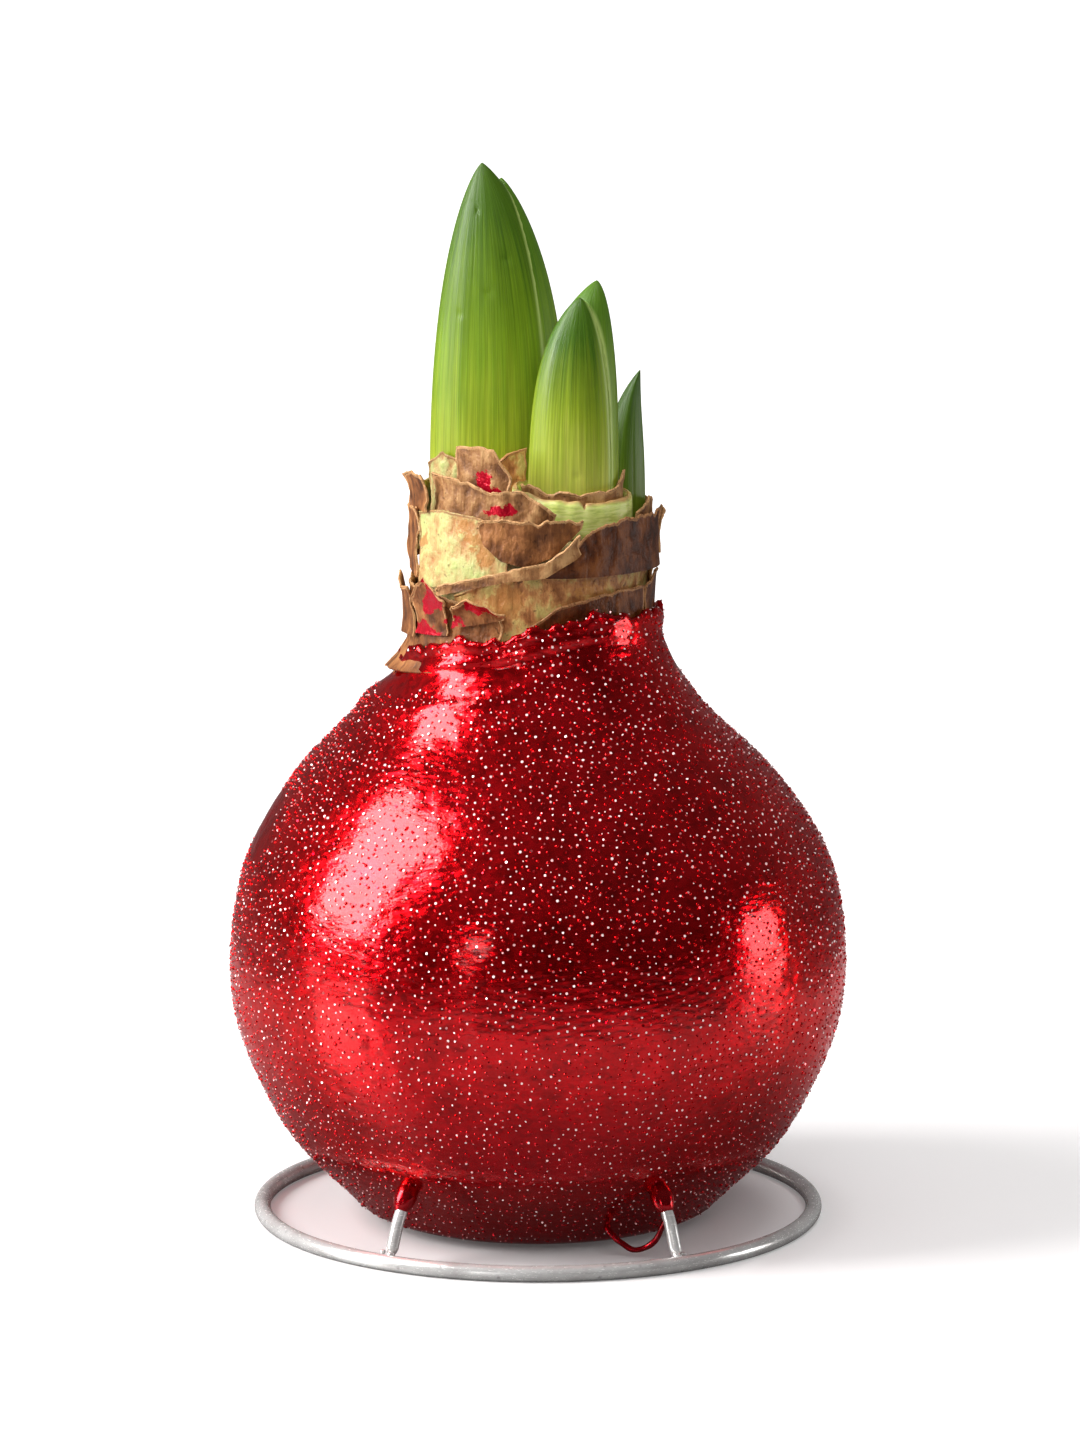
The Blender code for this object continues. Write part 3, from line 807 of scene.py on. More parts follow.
# %% [markdown]
# ## The bulb and its cut nose
#
# Under the wax sits the bulb itself, and only its neck shows. The top was cut flat, so from above
# it is a set of rings, one for each fleshy scale. It is turned from a profile whose top goes up and
# down. The body stays inside the wax skin, so its outline is the wax's own, moved inward.

# %% Bulb
BULB_NECK = ((19.3, 87.6), (17.5, 90.4), (17.0, 94), (17.0, 103), (16.7, 107.3), (15.9, 107.9))
NOSE = 107.9
NOSE_RING = 1.9              # width of one cut scale on the flat top
NOSE_RADIUS = 15.6
GAP = 0.3                    # pieces that touch on the real bulb stay this far apart
BODY_STEP, NECK_STEP = 3.0, 0.9
BULB_STEPS = 120


def flesh_finish():
    finish, tree, shader, places = new_finish("bulb_flesh")
    around = stretched(tree, places, (1.0, 1.0, 0.25))
    fibre = noise_at(tree, around, 1500, 4)
    blotch = noise_at(tree, places, 140, 3)
    colour = colour_ramp(tree, blotch, [(0.3, (0.46, 0.30, 0.13)), (0.5, (0.56, 0.44, 0.19)),
                                        (0.7, (0.50, 0.50, 0.17))])
    colour = blend_colours(tree, spread(tree, fibre, 0.35, 0.7, 0.0, 0.6), colour,
                           (0.25, 0.13, 0.05))
    feed(tree, shader, {
        "Base Color": colour,
        "Roughness": 0.5,
        "Subsurface Weight": 0.15,
        "Subsurface Radius": (0.002, 0.001, 0.0005),
        "Normal": bump(tree, fibre, 0.0002, 0.6),
    })
    return finish


FLESH = flesh_finish()
body_line = inset_line(even_rows(below_neck, BODY_STEP), SKIN + 0.4)
neck_line = even_rows(BULB_NECK, NECK_STEP)
rings = np.linspace(NOSE_RADIUS, 0, 52)
ring_line = np.stack([rings, NOSE - 0.18 + 0.18 * np.sin(rings * math.tau / NOSE_RING)], 1)
bulb = turned("bulb_core", np.vstack([body_line, neck_line, ring_line]), BULB_STEPS)
places = read_places(bulb.data) / MM
uneven = 0.12 * noise_field(places, 0.35, 4) * (places[:, 2] > 86)
places[:, 0] += neck_shift(places[:, 2]) - centre_shift[0]
places[:, 1] -= centre_shift[1]
places[:, 2] = np.minimum(places[:, 2] + uneven, NOSE)
write_places(bulb.data, places * MM)
finish_piece(bulb, "bulb_core", FLESH, ["bulb"])

# %% [markdown]
# ## The shoots
#
# Each shoot is a pair of spear leaves pressed together, and a leaf is round outside and flat where
# it meets its pair. A ball with many rings is a good start, as it is closed and has a tip at each
# end. Its rings are drawn out to the leaf's outline, the flat side is cut off with a bisect, and
# the cut edge gets a small bevel, which is the pale leaf margin. The veins run from foot to tip, so
# the pattern reads an attribute that follows the leaf.

# %% Leaf finish
LEAF_FOOT = NOSE + GAP


def maths(tree, operation, first, second):
    return add_node(tree, "Math", {0: first, 1: second}, operation=operation).outputs[0]


def shaken(tree, value, wobble, amount):
    """Moves a value up and down by a noise that runs from 0 to 1."""
    swing = maths(tree, "MULTIPLY", maths(tree, "SUBTRACT", wobble, 0.5), amount)
    return maths(tree, "ADD", value, swing)


def leaf_finish(name, foot_colour, middle_colour, tip_colour, margin=True):
    finish, tree, shader, places = new_finish(name)
    fibre = stored(tree, "fibre", "Vector")
    rise = stored(tree, "rise")
    veins = noise_at(tree, fibre, 1.0, 2, 0.5)
    fine = noise_at(tree, stretched(tree, fibre, (3.2, 3.2, 2.0)), 1.0, 3)
    cloud = noise_at(tree, places, 90, 3)
    drift = shaken(tree, shaken(tree, rise, veins, 0.42), cloud, 0.25)
    halfway = tuple(0.5 * (a + b) for a, b in zip(foot_colour, middle_colour))
    colour = colour_ramp(tree, drift, [(0.0, foot_colour), (0.22, halfway), (0.48, middle_colour),
                                       (0.85, tip_colour)])
    streak = spread(tree, fine, 0.38, 0.66, 0.80, 1.10)
    shade = add_node(tree, "CombineXYZ", {0: streak, 1: streak, 2: streak}).outputs[0]
    colour = blend_colours(tree, 1.0, colour, shade, "MULTIPLY")
    if margin:
        edge = stored(tree, "margin")
        colour = blend_colours(tree, spread(tree, edge, 0.12, 0.55, 0.75, 0.0), colour,
                               (0.46, 0.58, 0.16))
    feed(tree, shader, {
        "Base Color": colour,
        "Subsurface Weight": 0.12,
        "Subsurface Radius": (0.0012, 0.002, 0.0004),
        "Coat Weight": 0.12,
        "Coat Roughness": 0.3,
        "Specular IOR Level": 0.4,
        "Roughness": spread(tree, fine, 0.3, 0.7, 0.32, 0.46),
        "Normal": bump(tree, fine, 0.00012, 0.5, bump(tree, veins, 0.0002, 0.4)),
    })
    return finish


# %% Leaves
# each shoot: its middle and half its width and depth in millimetres, and its seam in degrees
LARGE = {"middle": (-5.8, 4.6), "half": (10.8, 6.8), "seam": -34}
MEDIUM = {"middle": (5.4, -7.0), "half": (6.9, 4.5), "seam": -24}
SMALL = {"middle": (13.0, 1.8), "half": (3.5, 2.7)}
LEAF_RINGS, LEAF_SIDES = 110, 84
MARGIN = 0.22 * MM           # width of the pale leaf margin
FRONT, BACK = -1, 1


def leaf_width(share, fullness):
    """A leaf's width at a share of its height: drawn in at the foot, full, then pointed."""
    foot = 1 - 0.12 * np.maximum(0, 1 - share / 0.16) ** 2
    return foot * np.maximum(1 - share ** fullness[0], 0) ** fullness[1]


def make_leaf(name, shoot, height, tip, fullness, part, finish, size=1.0, keel=0.0, nicks=()):
    """Half of a shoot, cut flat at its seam; with no part it is a whole leaf."""
    choose()
    bpy.ops.mesh.primitive_uv_sphere_add(segments=LEAF_SIDES, ring_count=LEAF_RINGS, radius=1)
    leaf = bpy.context.object
    places = read_places(leaf.data)
    row = 1 - np.arccos(np.clip(places[:, 2], -1, 1)) / math.pi
    share = np.clip((row - 1 / LEAF_RINGS) * LEAF_RINGS / (LEAF_RINGS - 1), 0, 1)
    share = 1 - (1 - share) ** 1.35
    angle = np.arctan2(places[:, 1], places[:, 0])
    reach = np.where(row < 0.5 / LEAF_RINGS, 0, leaf_width(share, fullness))
    middle, half, tip = np.array(shoot["middle"]), np.array(shoot["half"]) * size, np.array(tip)
    ribs = 1 + 0.0035 * np.sin(34 * angle) + 0.006 * np.sin(9 * angle + 5 * share)
    fold = (1 - keel * np.abs(np.sin(2 * angle))) * ribs
    centre = middle + (tip - middle) * (share ** 4)[:, None]
    sway = 0.10 * np.sin(6 * share + len(name)) * (1 - share)
    x = centre[:, 0] + half[0] * np.cos(angle) * reach * fold + sway
    y = centre[:, 1] + half[1] * np.sin(angle) * reach * fold
    z = LEAF_FOOT + share * (height - LEAF_FOOT)
    for nick_height, nick_angle, depth in nicks:
        turn = (angle - math.radians(nick_angle) + math.pi) % math.tau - math.pi
        dent = depth * np.exp(-((z - nick_height) / 0.5) ** 2 - (turn / 0.05) ** 2)
        x -= dent * np.cos(angle)
        y -= dent * np.sin(angle)
    write_places(leaf.data, np.stack([x, y, z], 1) * MM)
    if part:
        seam = math.radians(shoot["seam"])
        side = np.array([-math.sin(seam), math.cos(seam), 0]) * part
        on_seam = np.array([*middle, 0]) + side * GAP / 2
        start_edit(leaf)
        bpy.ops.mesh.bisect(plane_co=tuple(on_seam * MM), plane_no=tuple(side), use_fill=True,
                            clear_inner=True)
        bpy.ops.mesh.select_all(action="SELECT")
        bpy.ops.mesh.remove_doubles(threshold=0.02 * MM)
        bpy.ops.mesh.select_all(action="DESELECT")
        bpy.ops.mesh.edges_select_sharp(sharpness=math.radians(40))
        bpy.ops.mesh.bevel(offset=MARGIN, segments=2, clamp_overlap=True)
        bpy.ops.object.mode_set(mode="OBJECT")
    outward(leaf)
    places = read_places(leaf.data) / MM
    share = np.clip((places[:, 2] - LEAF_FOOT) / (height - LEAF_FOOT), 0, 1)
    centre = middle + (tip - middle) * (share ** 4)[:, None]
    width = np.maximum(leaf_width(share, fullness), 0.05)
    around = np.arctan2((places[:, 1] - centre[:, 1]) / half[1],
                        (places[:, 0] - centre[:, 0]) / half[0])
    store(leaf, "fibre", np.stack([np.cos(around) * half[0] * 1.3, np.sin(around) * half[0] * 1.3,
                                   places[:, 2] * 0.035], 1), "FLOAT_VECTOR")
    store(leaf, "rise", share)
    if part:
        store(leaf, "margin", (places - on_seam) @ side)
    print(name, "widest", round(float(width.max() * half[0] * 2), 1), "mm")
    finish_piece(leaf, name, finish, [name], sharp=35)


LARGE_GREEN = leaf_finish("leaf_green_large", (0.42, 0.47, 0.026), (0.165, 0.275, 0.006),
                          (0.060, 0.135, 0.003))
BACK_GREEN = leaf_finish("leaf_green_back", (0.38, 0.46, 0.035), (0.19, 0.31, 0.012),
                         (0.085, 0.19, 0.008))
MEDIUM_GREEN = leaf_finish("leaf_green_medium", (0.60, 0.60, 0.10), (0.25, 0.34, 0.014),
                           (0.055, 0.135, 0.003))
# the small leaf's own green made much darker as painted shade, for the shade of the medium shoot
# beside it
SMALL_GREEN_PAINTED_SHADE = leaf_finish("leaf_green_small_painted_shade", (0.15, 0.21, 0.018), (0.08, 0.15, 0.007),
                          (0.05, 0.12, 0.005), False)

make_leaf("leaf_large_front", LARGE, 163.3, (-8.5, 3.2), (3.0, 0.8), FRONT, LARGE_GREEN,
          nicks=((156.2, -115, 0.25), (149.0, -75, 0.3), (143.8, -100, 0.3), (140.5, -130, 0.2)))
make_leaf("leaf_large_back", LARGE, 160.6, (-5.6, 6.6), (3.0, 0.8), BACK, BACK_GREEN, size=0.97)
make_leaf("leaf_medium_front", MEDIUM, 144.2, (6.3, -8.2), (3.6, 0.75), FRONT, MEDIUM_GREEN,
          nicks=((117.4, -85, 0.25), (131.0, -60, 0.15)))
make_leaf("leaf_medium_back", MEDIUM, 146.4, (8.9, -5.0), (3.6, 0.75), BACK, BACK_GREEN)
make_leaf("leaf_small", SMALL, 131.8, (15.6, 1.8), (2.6, 0.9), None, SMALL_GREEN_PAINTED_SHADE, keel=0.16)

# %% [markdown]
# The smaller shoot stands in the cut base of an older leaf, a pale green tube with a thin brown
# rim. A wall's section, drawn once and spun, gives both its sides and its rounded rim, and the ring
# is then squeezed to an oval.

# %% Collar
COLLAR = {"middle": (5.2, -6.8), "half": (9.0, 7.7)}
COLLAR_BACK = 0.72           # the back of the oval is flatter than its front
COLLAR_STEPS = 170
SECTION = 10                 # the wall's section is drawn this wide and this high


def collar_finish():
    finish, tree, shader, places = new_finish("cut_leaf_base")
    fibre = stored(tree, "fibre", "Vector")
    rise = stored(tree, "rise")
    fine = noise_at(tree, fibre, 1.0, 4, 0.6)
    cloud = noise_at(tree, places, 260, 3)
    colour = colour_ramp(tree, fine, [(0.3, (0.40, 0.50, 0.09)), (0.5, (0.64, 0.72, 0.20)),
                                      (0.75, (0.80, 0.78, 0.34))])
    height = shaken(tree, rise, cloud, 0.25)
    colour = blend_colours(tree, spread(tree, height, 0.90, 0.99, 0.0, 0.9), colour,
                           (0.42, 0.20, 0.075))
    colour = blend_colours(tree, spread(tree, height, 0.0, 0.16, 0.5, 0.0), colour,
                           (0.40, 0.26, 0.10))
    feed(tree, shader, {
        "Base Color": colour,
        "Roughness": 0.42,
        "Subsurface Weight": 0.15,
        "Subsurface Radius": (0.0015, 0.0015, 0.0005),
        "Normal": bump(tree, fine, 0.00012, 0.6),
    })
    return finish


wall_section = [(1, 0), (1.012, 0.3), (1.018, 0.6), (1.012, 0.85), (1.0, 0.95), (0.975, 0.995),
                (0.945, 1.0), (0.915, 0.97), (0.9, 0.9), (0.9, 0.5), (0.895, 0), (1, 0)]
wall_section = even_rows([(r * SECTION, h * SECTION) for r, h in wall_section], 0.75)
collar = turned("leaf_collar", wall_section, COLLAR_STEPS)
places = read_places(collar.data) / MM
share = places[:, 2] / SECTION
angle = np.arctan2(places[:, 1], places[:, 0])
ring_radius = np.hypot(places[:, 0], places[:, 1]) / SECTION
rim_wave = noise_field(np.stack([np.cos(angle) * 5, np.sin(angle) * 5, 0 * angle], 1), 1.2, 3)
rim = 114.7 - 1.0 * np.cos(angle + math.radians(55)) + 0.15 * np.sin(7 * angle) + 0.28 * rim_wave
rim -= 1.1 * np.exp(-((angle + math.radians(79)) / 0.018) ** 2)      # a split in the rim
ring_radius *= 1 + 0.012 * rim_wave * share + 0.008 * np.sin(23 * angle)
squeeze = np.where(places[:, 1] > 0, COLLAR_BACK, 1.0)
x = COLLAR["middle"][0] + COLLAR["half"][0] * ring_radius * np.cos(angle)
y = COLLAR["middle"][1] + COLLAR["half"][1] * ring_radius * squeeze * np.sin(angle)
z = LEAF_FOOT + share * (rim - LEAF_FOOT)
write_places(collar.data, np.stack([x, y, z], 1) * MM)
store(collar, "rise", share)
store(collar, "fibre", np.stack([x * 0.5, y * 0.5, z * 2.6], 1), "FLOAT_VECTOR")
finish_piece(collar, "leaf_collar", collar_finish(), ["leaf_collar"], sharp=50)

# %% [markdown]
# ## The papery scales
#
# Old outer scales dry to thin brown skins with fine fibres running up them, and they tear and curl
# at the edges. Each one starts as a grid that is wrapped round the neck, or round a shoot, by a row
# of heights for its foot and its rim. Noise along the rim gives the tears, noise round the neck
# gives the wrinkles, and a Solidify modifier gives the thin wall. Four values kept on each corner
# tell the finish where the fibres run, where the worn edges are with a painted shadow line at their
# very edge, and where the bruises and the splashes of red wax are.

# %% Papery finish
def papery_finish(name, dark, mean, light, edge, gloss=0.55, green=None):
    finish, tree, shader, places = new_finish(name)
    fibre = stored(tree, "fibre", "Vector")
    wear_and_edge_shadow = stored(tree, "wear_and_edge_shadow")
    splash = stored(tree, "splash")
    threads = noise_at(tree, stretched(tree, fibre, (3.4, 1.0, 0.35)), 1.0, 5, 0.65)
    cloud = noise_at(tree, stretched(tree, fibre, (0.42, 1.0, 0.30)), 1.0, 4)
    spots = noise_at(tree, places, 1100, 2)
    tone = maths(tree, "ADD", maths(tree, "MULTIPLY", threads, 0.22),
                 maths(tree, "MULTIPLY", cloud, 0.78))
    colour = colour_ramp(tree, tone, [(0.36, dark), (0.50, mean), (0.62, light)])
    if green:
        colour = blend_colours(tree, spread(tree, cloud, 0.45, 0.62, 0.0, 0.85), colour, green)
    colour = blend_colours(tree, spread(tree, spots, 0.66, 0.72, 0.0, 0.6), colour,
                           tuple(0.35 * v for v in dark))
    # the edge mask holds the paler worn edge and, nearest the edge, a painted shadow line
    ragged = shaken(tree, wear_and_edge_shadow, threads, 0.7)
    colour = blend_colours(tree, spread(tree, ragged, 0.55, 0.75, 0.0, 0.85), colour, edge)
    # painted shadow: a near-black line along the very edge of each scale, under its rolled cord
    colour = blend_colours(tree, spread(tree, ragged, 0.95, 1.1, 0.0, 0.7), colour,
                           (0.075, 0.03, 0.014))
    bruise = stored(tree, "bruise")
    frayed = noise_at(tree, places, 380, 4, 0.6)
    sore = spread(tree, shaken(tree, bruise, frayed, 3.0), 0.42, 0.56, 0.0, 0.85)
    sore = maths(tree, "MULTIPLY", sore, spread(tree, bruise, 0.0, 0.15))
    colour = blend_colours(tree, sore, colour, (0.46, 0.20, 0.055))
    wet = spread(tree, shaken(tree, splash, frayed, 3.0), 0.40, 0.50)
    wet = maths(tree, "MULTIPLY", wet, spread(tree, splash, 0.0, 0.1))
    colour = blend_colours(tree, wet, colour, (0.50, 0.004, 0.02))
    feed(tree, shader, {
        "Base Color": colour,
        "Roughness": spread(tree, wet, 0, 1, gloss, 0.25),
        "Metallic": spread(tree, wet, 0, 1, 0.0, 0.4),
        "Specular IOR Level": 0.3,
        "Normal": bump(tree, threads, 0.00020, 0.35, bump(tree, cloud, 0.0010, 0.8)),
    })
    return finish


BROWN = papery_finish("papery_brown", (0.075, 0.024, 0.007), (0.20, 0.070, 0.020),
                      (0.37, 0.150, 0.048), (0.60, 0.33, 0.14))
DARK_BROWN = papery_finish("papery_dark_brown", (0.035, 0.009, 0.002), (0.095, 0.024, 0.005),
                           (0.19, 0.060, 0.016), (0.44, 0.21, 0.085), 0.42)
TAN = papery_finish("papery_tan", (0.12, 0.044, 0.015), (0.31, 0.140, 0.050), (0.52, 0.29, 0.120),
                    (0.58, 0.32, 0.140), 0.5)
OLIVE = papery_finish("papery_olive", (0.25, 0.090, 0.028), (0.56, 0.245, 0.085),
                      (0.78, 0.50, 0.240), (0.42, 0.19, 0.07), 0.42, green=(0.55, 0.44, 0.125))
CREAM = papery_finish("scale_cream", (0.44, 0.20, 0.07), (0.56, 0.44, 0.18), (0.68, 0.59, 0.34),
                      (0.36, 0.17, 0.07), 0.4, green=(0.46, 0.52, 0.16))

# %% Sheets
SHEET = 0.34                 # thickness of a dry scale at its middle
LAYER = 0.95                 # from one papery layer to the next
FINENESS = 0.42              # size of a grid step
NECK_LOW = (21.9, 84.8)      # radius and height where the neck widens into the body
NECK_NARROWS = 104
EDGE_SIDES = 6
SCALE_DRAW = np.random.default_rng(23)


def between(values, share):
    """The value at a share of the way along evenly spaced values."""
    return np.interp(share, np.linspace(0, 1, len(values)), values)


def neck_radius(height):
    """The neck under the scales: wider below its straight part, narrower near the nose."""
    line = np.array((NECK_LOW,) + BULB_NECK[:4])
    straight, straight_from = BULB_NECK[2]
    above = straight - 0.05 * np.maximum(height - NECK_NARROWS, 0)
    return np.where(height < straight_from, np.interp(height, line[:, 1], line[:, 0]), above)


def flat_noise(across, up, scale_across, scale_up, seed):
    """Smooth noise on a sheet, with its own size across and up."""
    places = np.stack([across / scale_across, up / scale_up, np.full(len(up), seed)], 1)
    return noise_field(places, 1.0)


def edge_route(scale, rise, side):
    """The corners along a scale's torn edges: up one side, over the rim, down the other."""
    places = read_places(scale.data)
    left = [i for i in np.argsort(rise) if side[i] < 1e-4]
    top = [i for i in np.argsort(side) if rise[i] > 1 - 1e-4]
    right = [i for i in np.argsort(-rise) if side[i] > 1 - 1e-4]
    order = list(dict.fromkeys(left[len(left) // 2:] + top + right[:len(right) // 2 + 1]))
    return places[order]


def add_rolled_edge(scale, route, seed):
    """Dry edges roll up into a thin cord; it is a tube of six sides that runs along the edge."""
    out = route[:, :2] - np.array([LEAN * MM, 0])
    out /= np.linalg.norm(out, axis=1)[:, None]
    out = np.concatenate([out, np.zeros((len(out), 1))], 1)
    walk = np.arange(len(route)) * FINENESS
    wobble = flat_noise(walk, 0 * walk, 2.2, 1, seed + 21)
    size = np.clip(0.17 + 0.11 * wobble, 0.07, 0.30) * MM
    size[[0, -1]] = 0.03 * MM
    middle = route + out * (0.20 + 0.16 * wobble)[:, None] * MM
    along = np.gradient(middle, axis=0)
    along /= np.linalg.norm(along, axis=1)[:, None]
    third = np.cross(along, out)
    third /= np.linalg.norm(third, axis=1)[:, None]
    flat = np.cross(third, along)
    turns = np.arange(EDGE_SIDES) * math.tau / EDGE_SIDES
    cosine, sine = np.cos(turns)[None, :, None], np.sin(turns)[None, :, None]
    rings = middle[:, None] + size[:, None, None] * (cosine * flat[:, None] + sine * third[:, None])
    count = len(route)
    faces = []
    for first in range(0, (count - 1) * EDGE_SIDES, EDGE_SIDES):
        for corner in range(EDGE_SIDES):
            after = (corner + 1) % EDGE_SIDES
            faces.append((first + corner, first + after, first + EDGE_SIDES + after,
                          first + EDGE_SIDES + corner))
    faces += [tuple(reversed(range(EDGE_SIDES))),
              tuple(range((count - 1) * EDGE_SIDES, count * EDGE_SIDES))]
    mesh = bpy.data.meshes.new("rolled_edge")
    mesh.from_pydata(rings.reshape(-1, 3).tolist(), [], faces)
    cord = place_in_scene("rolled_edge", mesh)
    fibre = np.repeat(np.stack([walk, 0 * walk + seed, walk * 0.3], 1), EDGE_SIDES, axis=0)
    store(cord, "fibre", fibre, "FLOAT_VECTOR")
    # the cord is coloured as a worn edge, in places darkened by the painted shadow line
    for mark, amount in (("wear_and_edge_shadow", 0.72), ("splash", 0), ("bruise", 0)):
        store(cord, mark, np.full(len(fibre), amount))
    outward(cord)
    join([scale, cord])


def make_scale(name, span, foot, rim, layer=0, finish=BROWN, wrap=None, curl=0.0, side_curl=0.0,
               tear=1.0, crease=1.0, puff=0.0, splash=(), bruises=()):
    """One scale on the neck, or round a shoot if wrap gives its middle, its half sizes and a reach.

    span is in degrees from the front to the right; foot and rim are heights from left to right.
    Each splash and bruise is its share across, its share up and its reach in millimetres.
    """
    seed = float(SCALE_DRAW.uniform(0, 90))
    mean_radius = (wrap[1][0] + wrap[2]) if wrap else 18.0
    wide = math.radians(span[1] - span[0]) * mean_radius
    tall = max(rim) - min(foot)
    choose()
    bpy.ops.mesh.primitive_grid_add(x_subdivisions=max(8, int(wide / FINENESS)),
                                    y_subdivisions=max(8, int(tall / FINENESS)), size=1)
    scale = bpy.context.object
    places = read_places(scale.data)
    side, rise = places[:, 0] + 0.5, places[:, 1] + 0.5
    arc = side * wide
    jag = 0.30 * flat_noise(arc, 0 * arc, 1.3, 1, seed)
    jag += 0.22 * flat_noise(arc, 0 * arc, 0.5, 1, seed + 3)
    jag -= 1.6 * tear * np.maximum(flat_noise(arc, 0 * arc, 2.6, 1, seed + 5) - 0.22, 0)
    low, high = between(foot, side), between(rim, side) + jag * tear
    height = low + (high - low) * rise
    edge_wave = 0.5 * flat_noise(height, 0 * height, 1.3, 1, seed + 7)
    edge_wave = edge_wave + 1.5 * flat_noise(height, 0 * height, 5.0, 1, seed + 8)
    edge_share = (np.abs(2 * side - 1)) ** 6
    angle = np.radians(span[0]) + (arc + edge_wave * edge_share * tear) / mean_radius
    flare = curl * rise ** 3 + side_curl * np.abs(2 * side - 1) ** 3
    flare = flare + puff * (1 - (2 * side - 1) ** 2) * rise
    from_rim = high - height
    from_side = np.minimum(side, 1 - side) * wide
    roll = np.exp(-from_rim / 0.55)
    flare = flare + roll * 0.34 * (0.4 + flat_noise(arc, 0 * arc, 3.0, 1, seed + 9))
    side_roll = 0.3 + flat_noise(height, 0 * height, 2.2, 1, seed + 10)
    flare = flare + 0.30 * np.exp(-from_side / 0.6) * side_roll
    creases = crease * (0.10 * flat_noise(arc, height, 0.8, 7.0, seed + 11)
                        + 0.16 * flat_noise(arc, height, 2.8, 6.0, seed + 12))
    flare = flare + creases + 0.12
    if wrap:
        middle, half, reach = wrap
        x = middle[0] + (half[0] + reach + flare) * np.sin(angle)
        y = middle[1] - (half[1] + reach + flare) * np.cos(angle)
    else:
        ripple = 0.1 * np.sin(9 * angle + 0.3 * height) * np.cos(4 * angle - 0.2 * height)
        radius = neck_radius(height) + GAP + layer * LAYER + ripple + flare
        x, y = radius * np.sin(angle) + LEAN, -radius * np.cos(angle)
    write_places(scale.data, np.stack([x, y, height], 1) * MM)
    store(scale, "fibre", np.stack([arc + seed, 0 * arc + seed, height], 1), "FLOAT_VECTOR")
    # nearness to the rim and sides: the paler worn edge and the painted shadow line along it
    store(scale, "wear_and_edge_shadow", np.maximum(np.exp(-from_rim / 0.5), 0.9 * np.exp(-from_side / 0.45)))
    for mark, spots in (("splash", splash), ("bruise", bruises)):
        amount = np.zeros(len(arc))
        for at_side, at_rise, reach_mm in spots:
            away = np.hypot((side - at_side) * wide, (rise - at_rise) * tall)
            amount = np.maximum(amount, np.clip(1.05 - 0.8 * away / reach_mm, 0, 1))
        store(scale, mark, amount)
    rim_route = edge_route(scale, rise, side)
    wall = scale.modifiers.new("wall", "SOLIDIFY")
    wall.thickness = SHEET * MM
    wall.offset = 1
    choose(scale)
    bpy.ops.object.modifier_apply(modifier=wall.name)
    outward(scale)
    add_rolled_edge(scale, rim_route, seed)
    finish_piece(scale, name, finish, [name], sharp=60)


# what the scales that do not lie on the neck are wrapped round
ON_LARGE = (LARGE["middle"], LARGE["half"], 0.45)
ON_MEDIUM = (COLLAR["middle"], (7.25, 5.7), 0)
ON_NECK = ((LEAN, 0), (14.2, 14.2), 0)

# each scale: name, span in degrees, heights of its foot, heights of its rim, layer and finish
make_scale("tunic_upper_left", (-58, 12), (106, 106), (117.4, 117.2, 115.6, 115.8, 112.4), 0, TAN,
           crease=2.0, splash=((0.55, 0.72, 1.5), (0.66, 0.7, 1.3)))
make_scale("scale_tan_lower", (-40, 80), (91, 91), (99.4, 103.4, 104, 104, 104), 0, OLIVE, tear=0.4,
           crease=0.8, bruises=((0.25, 0.7, 4.0), (0.6, 0.55, 4.5), (0.46, 0.55, 0.7)))
make_scale("scale_flesh_left", (-66, -12), (100.2, 100.4, 101.6, 103.6),
           (111.4, 112.2, 111.8, 110.6), 1, CREAM, tear=0.4, crease=0.8,
           bruises=((0.78, 0.75, 4.2), (0.85, 0.45, 2.6), (0.06, 0.55, 1.8)))
make_scale("tunic_lower_front", (-4, 64), (91, 91), (94.6, 98.4, 99.6, 100.1, 100.0), 1, DARK_BROWN,
           tear=0.5, crease=1.2)
make_scale("tunic_lower_left", (-104, -14), (85.4, 88.6), (99.6, 99.6, 99.0, 97.0), 1, crease=1.5)
make_scale("tunic_edge_right", (66, 98), (91, 91), (99.8, 101.6, 100.8), 1, DARK_BROWN, curl=0.3)
make_scale("tunic_curl_left", (-90, -58), (110.9, 111.6), (116.0, 117.2, 116.8), 1, curl=0.9,
           crease=2.2, side_curl=0.5)
make_scale("tunic_right_upper", (60, 100), (104, 104), (111.4, 113.2, 111.0), 1, TAN)
make_scale("tunic_band_left", (-26, 22), (109.0, 105.6, 104.6, 106.4, 110.4),
           (111.4, 112.0, 111.6, 111.8), 2, crease=2.2)
make_scale("tunic_band_right", (-4, 84), (103.2, 102.9, 102.8, 102.6, 102.4),
           (102.4, 106.8, 110.4, 111.2, 111.0, 111.0), 2, DARK_BROWN)
make_scale("tunic_ribbon", (-44, 22), (99.6, 101.2, 102.6, 103.2, 106.6),
           (101.2, 102.6, 104.2, 105.4, 109.6), 3, TAN, tear=0.6)
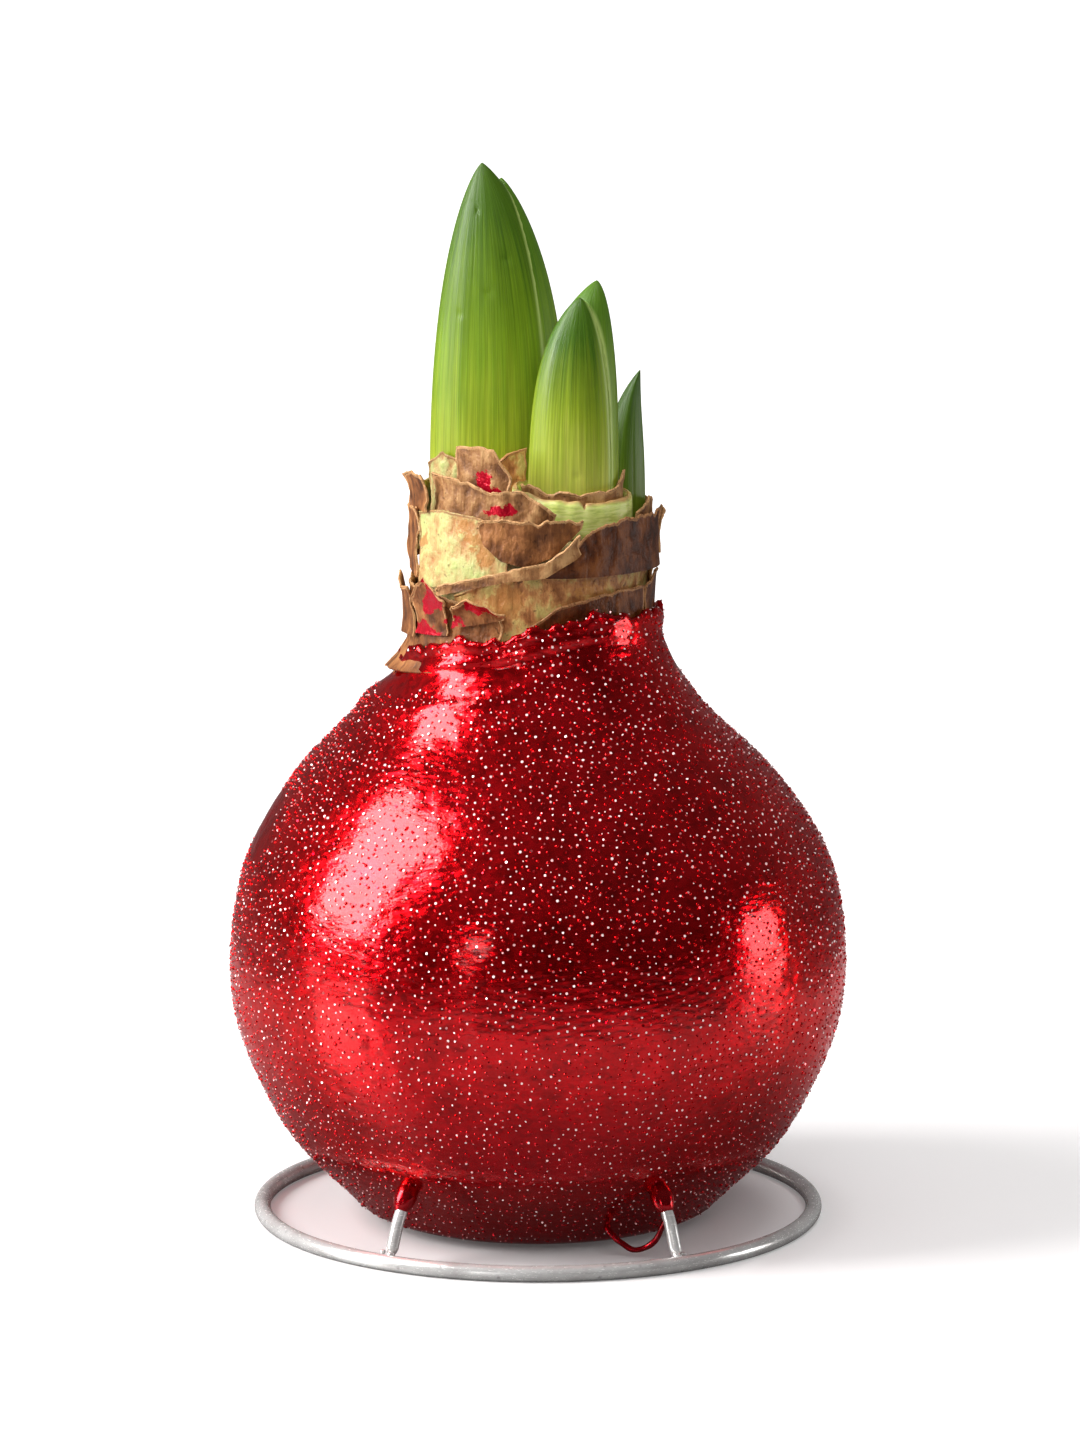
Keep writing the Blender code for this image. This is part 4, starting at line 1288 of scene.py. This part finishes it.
make_scale("tunic_cup_left", (-63, -41), (92.8, 93.4), (98.6, 102.0, 98.8), 2, curl=0.9,
           splash=((0.7, 0.75, 3.6), (0.35, 0.1, 2.6)), puff=0.7, crease=1.5)
make_scale("tunic_cup_middle", (-38, -14), (94.8, 96.6), (97.8, 99.8, 98.0), 2, curl=1.4,
           splash=((0.65, 0.95, 3.0), (0.1, 0.2, 2.2)), puff=0.9, crease=1.5)
make_scale("tunic_left_lower", (-98, -66), (91.6, 92.2), (100.6, 99.0, 99.8), 2, curl=0.7)
make_scale("tunic_edge_left", (-92, -68), (101.6, 101.2), (111.0, 111.6), 1, side_curl=0.3)
make_scale("tunic_flake_right", (86, 100), (104.0, 104.0), (109.6, 110.8), 2, curl=0.7)
make_scale("scale_back", (112, 262), (104, 104), (113.0, 114.6, 115.4, 113.6, 114.4), 0, CREAM)
make_scale("tunic_back_upper", (104, 262), (102.6, 102.4), (111.6, 112.8, 111.4, 112.2, 111.4), 1,
           crease=1.4)
make_scale("tunic_back_lower", (101, 261), (88.5, 85.2, 84.8, 85.4),
           (101.2, 101.8, 100.4, 101.4, 100.2), 1, TAN)
make_scale("tunic_back_flap", (128, 206), (98.4, 97.6), (104.4, 106.4, 105.2, 103.4), 2, curl=0.6)
make_scale("tunic_flap", (-53, -14), (LEAF_FOOT, LEAF_FOOT), (121.4, 121.7, 121.9, 121.6, 117.6),
           0, TAN, wrap=ON_NECK, curl=-0.3, tear=0.45, crease=1.8,
           splash=((0.62, 0.62, 2.0), (0.9, 0.5, 1.6)))
make_scale("scale_cream_left", (-66, -30), (LEAF_FOOT, LEAF_FOOT), (117.4, 119.4, 118.0), 0, CREAM,
           wrap=ON_LARGE, crease=0.5, tear=0.5)
make_scale("scale_olive", (-4, 20), (LEAF_FOOT, LEAF_FOOT), (117.6, 119.4, 120.2), 0, OLIVE,
           wrap=ON_LARGE, crease=0.5, tear=0.5)
make_scale("collar_lining", (-86, 96), (LEAF_FOOT, LEAF_FOOT), (115.4, 115.6, 114.7, 115.0, 117.8),
           0, TAN, wrap=ON_MEDIUM, crease=0.5)
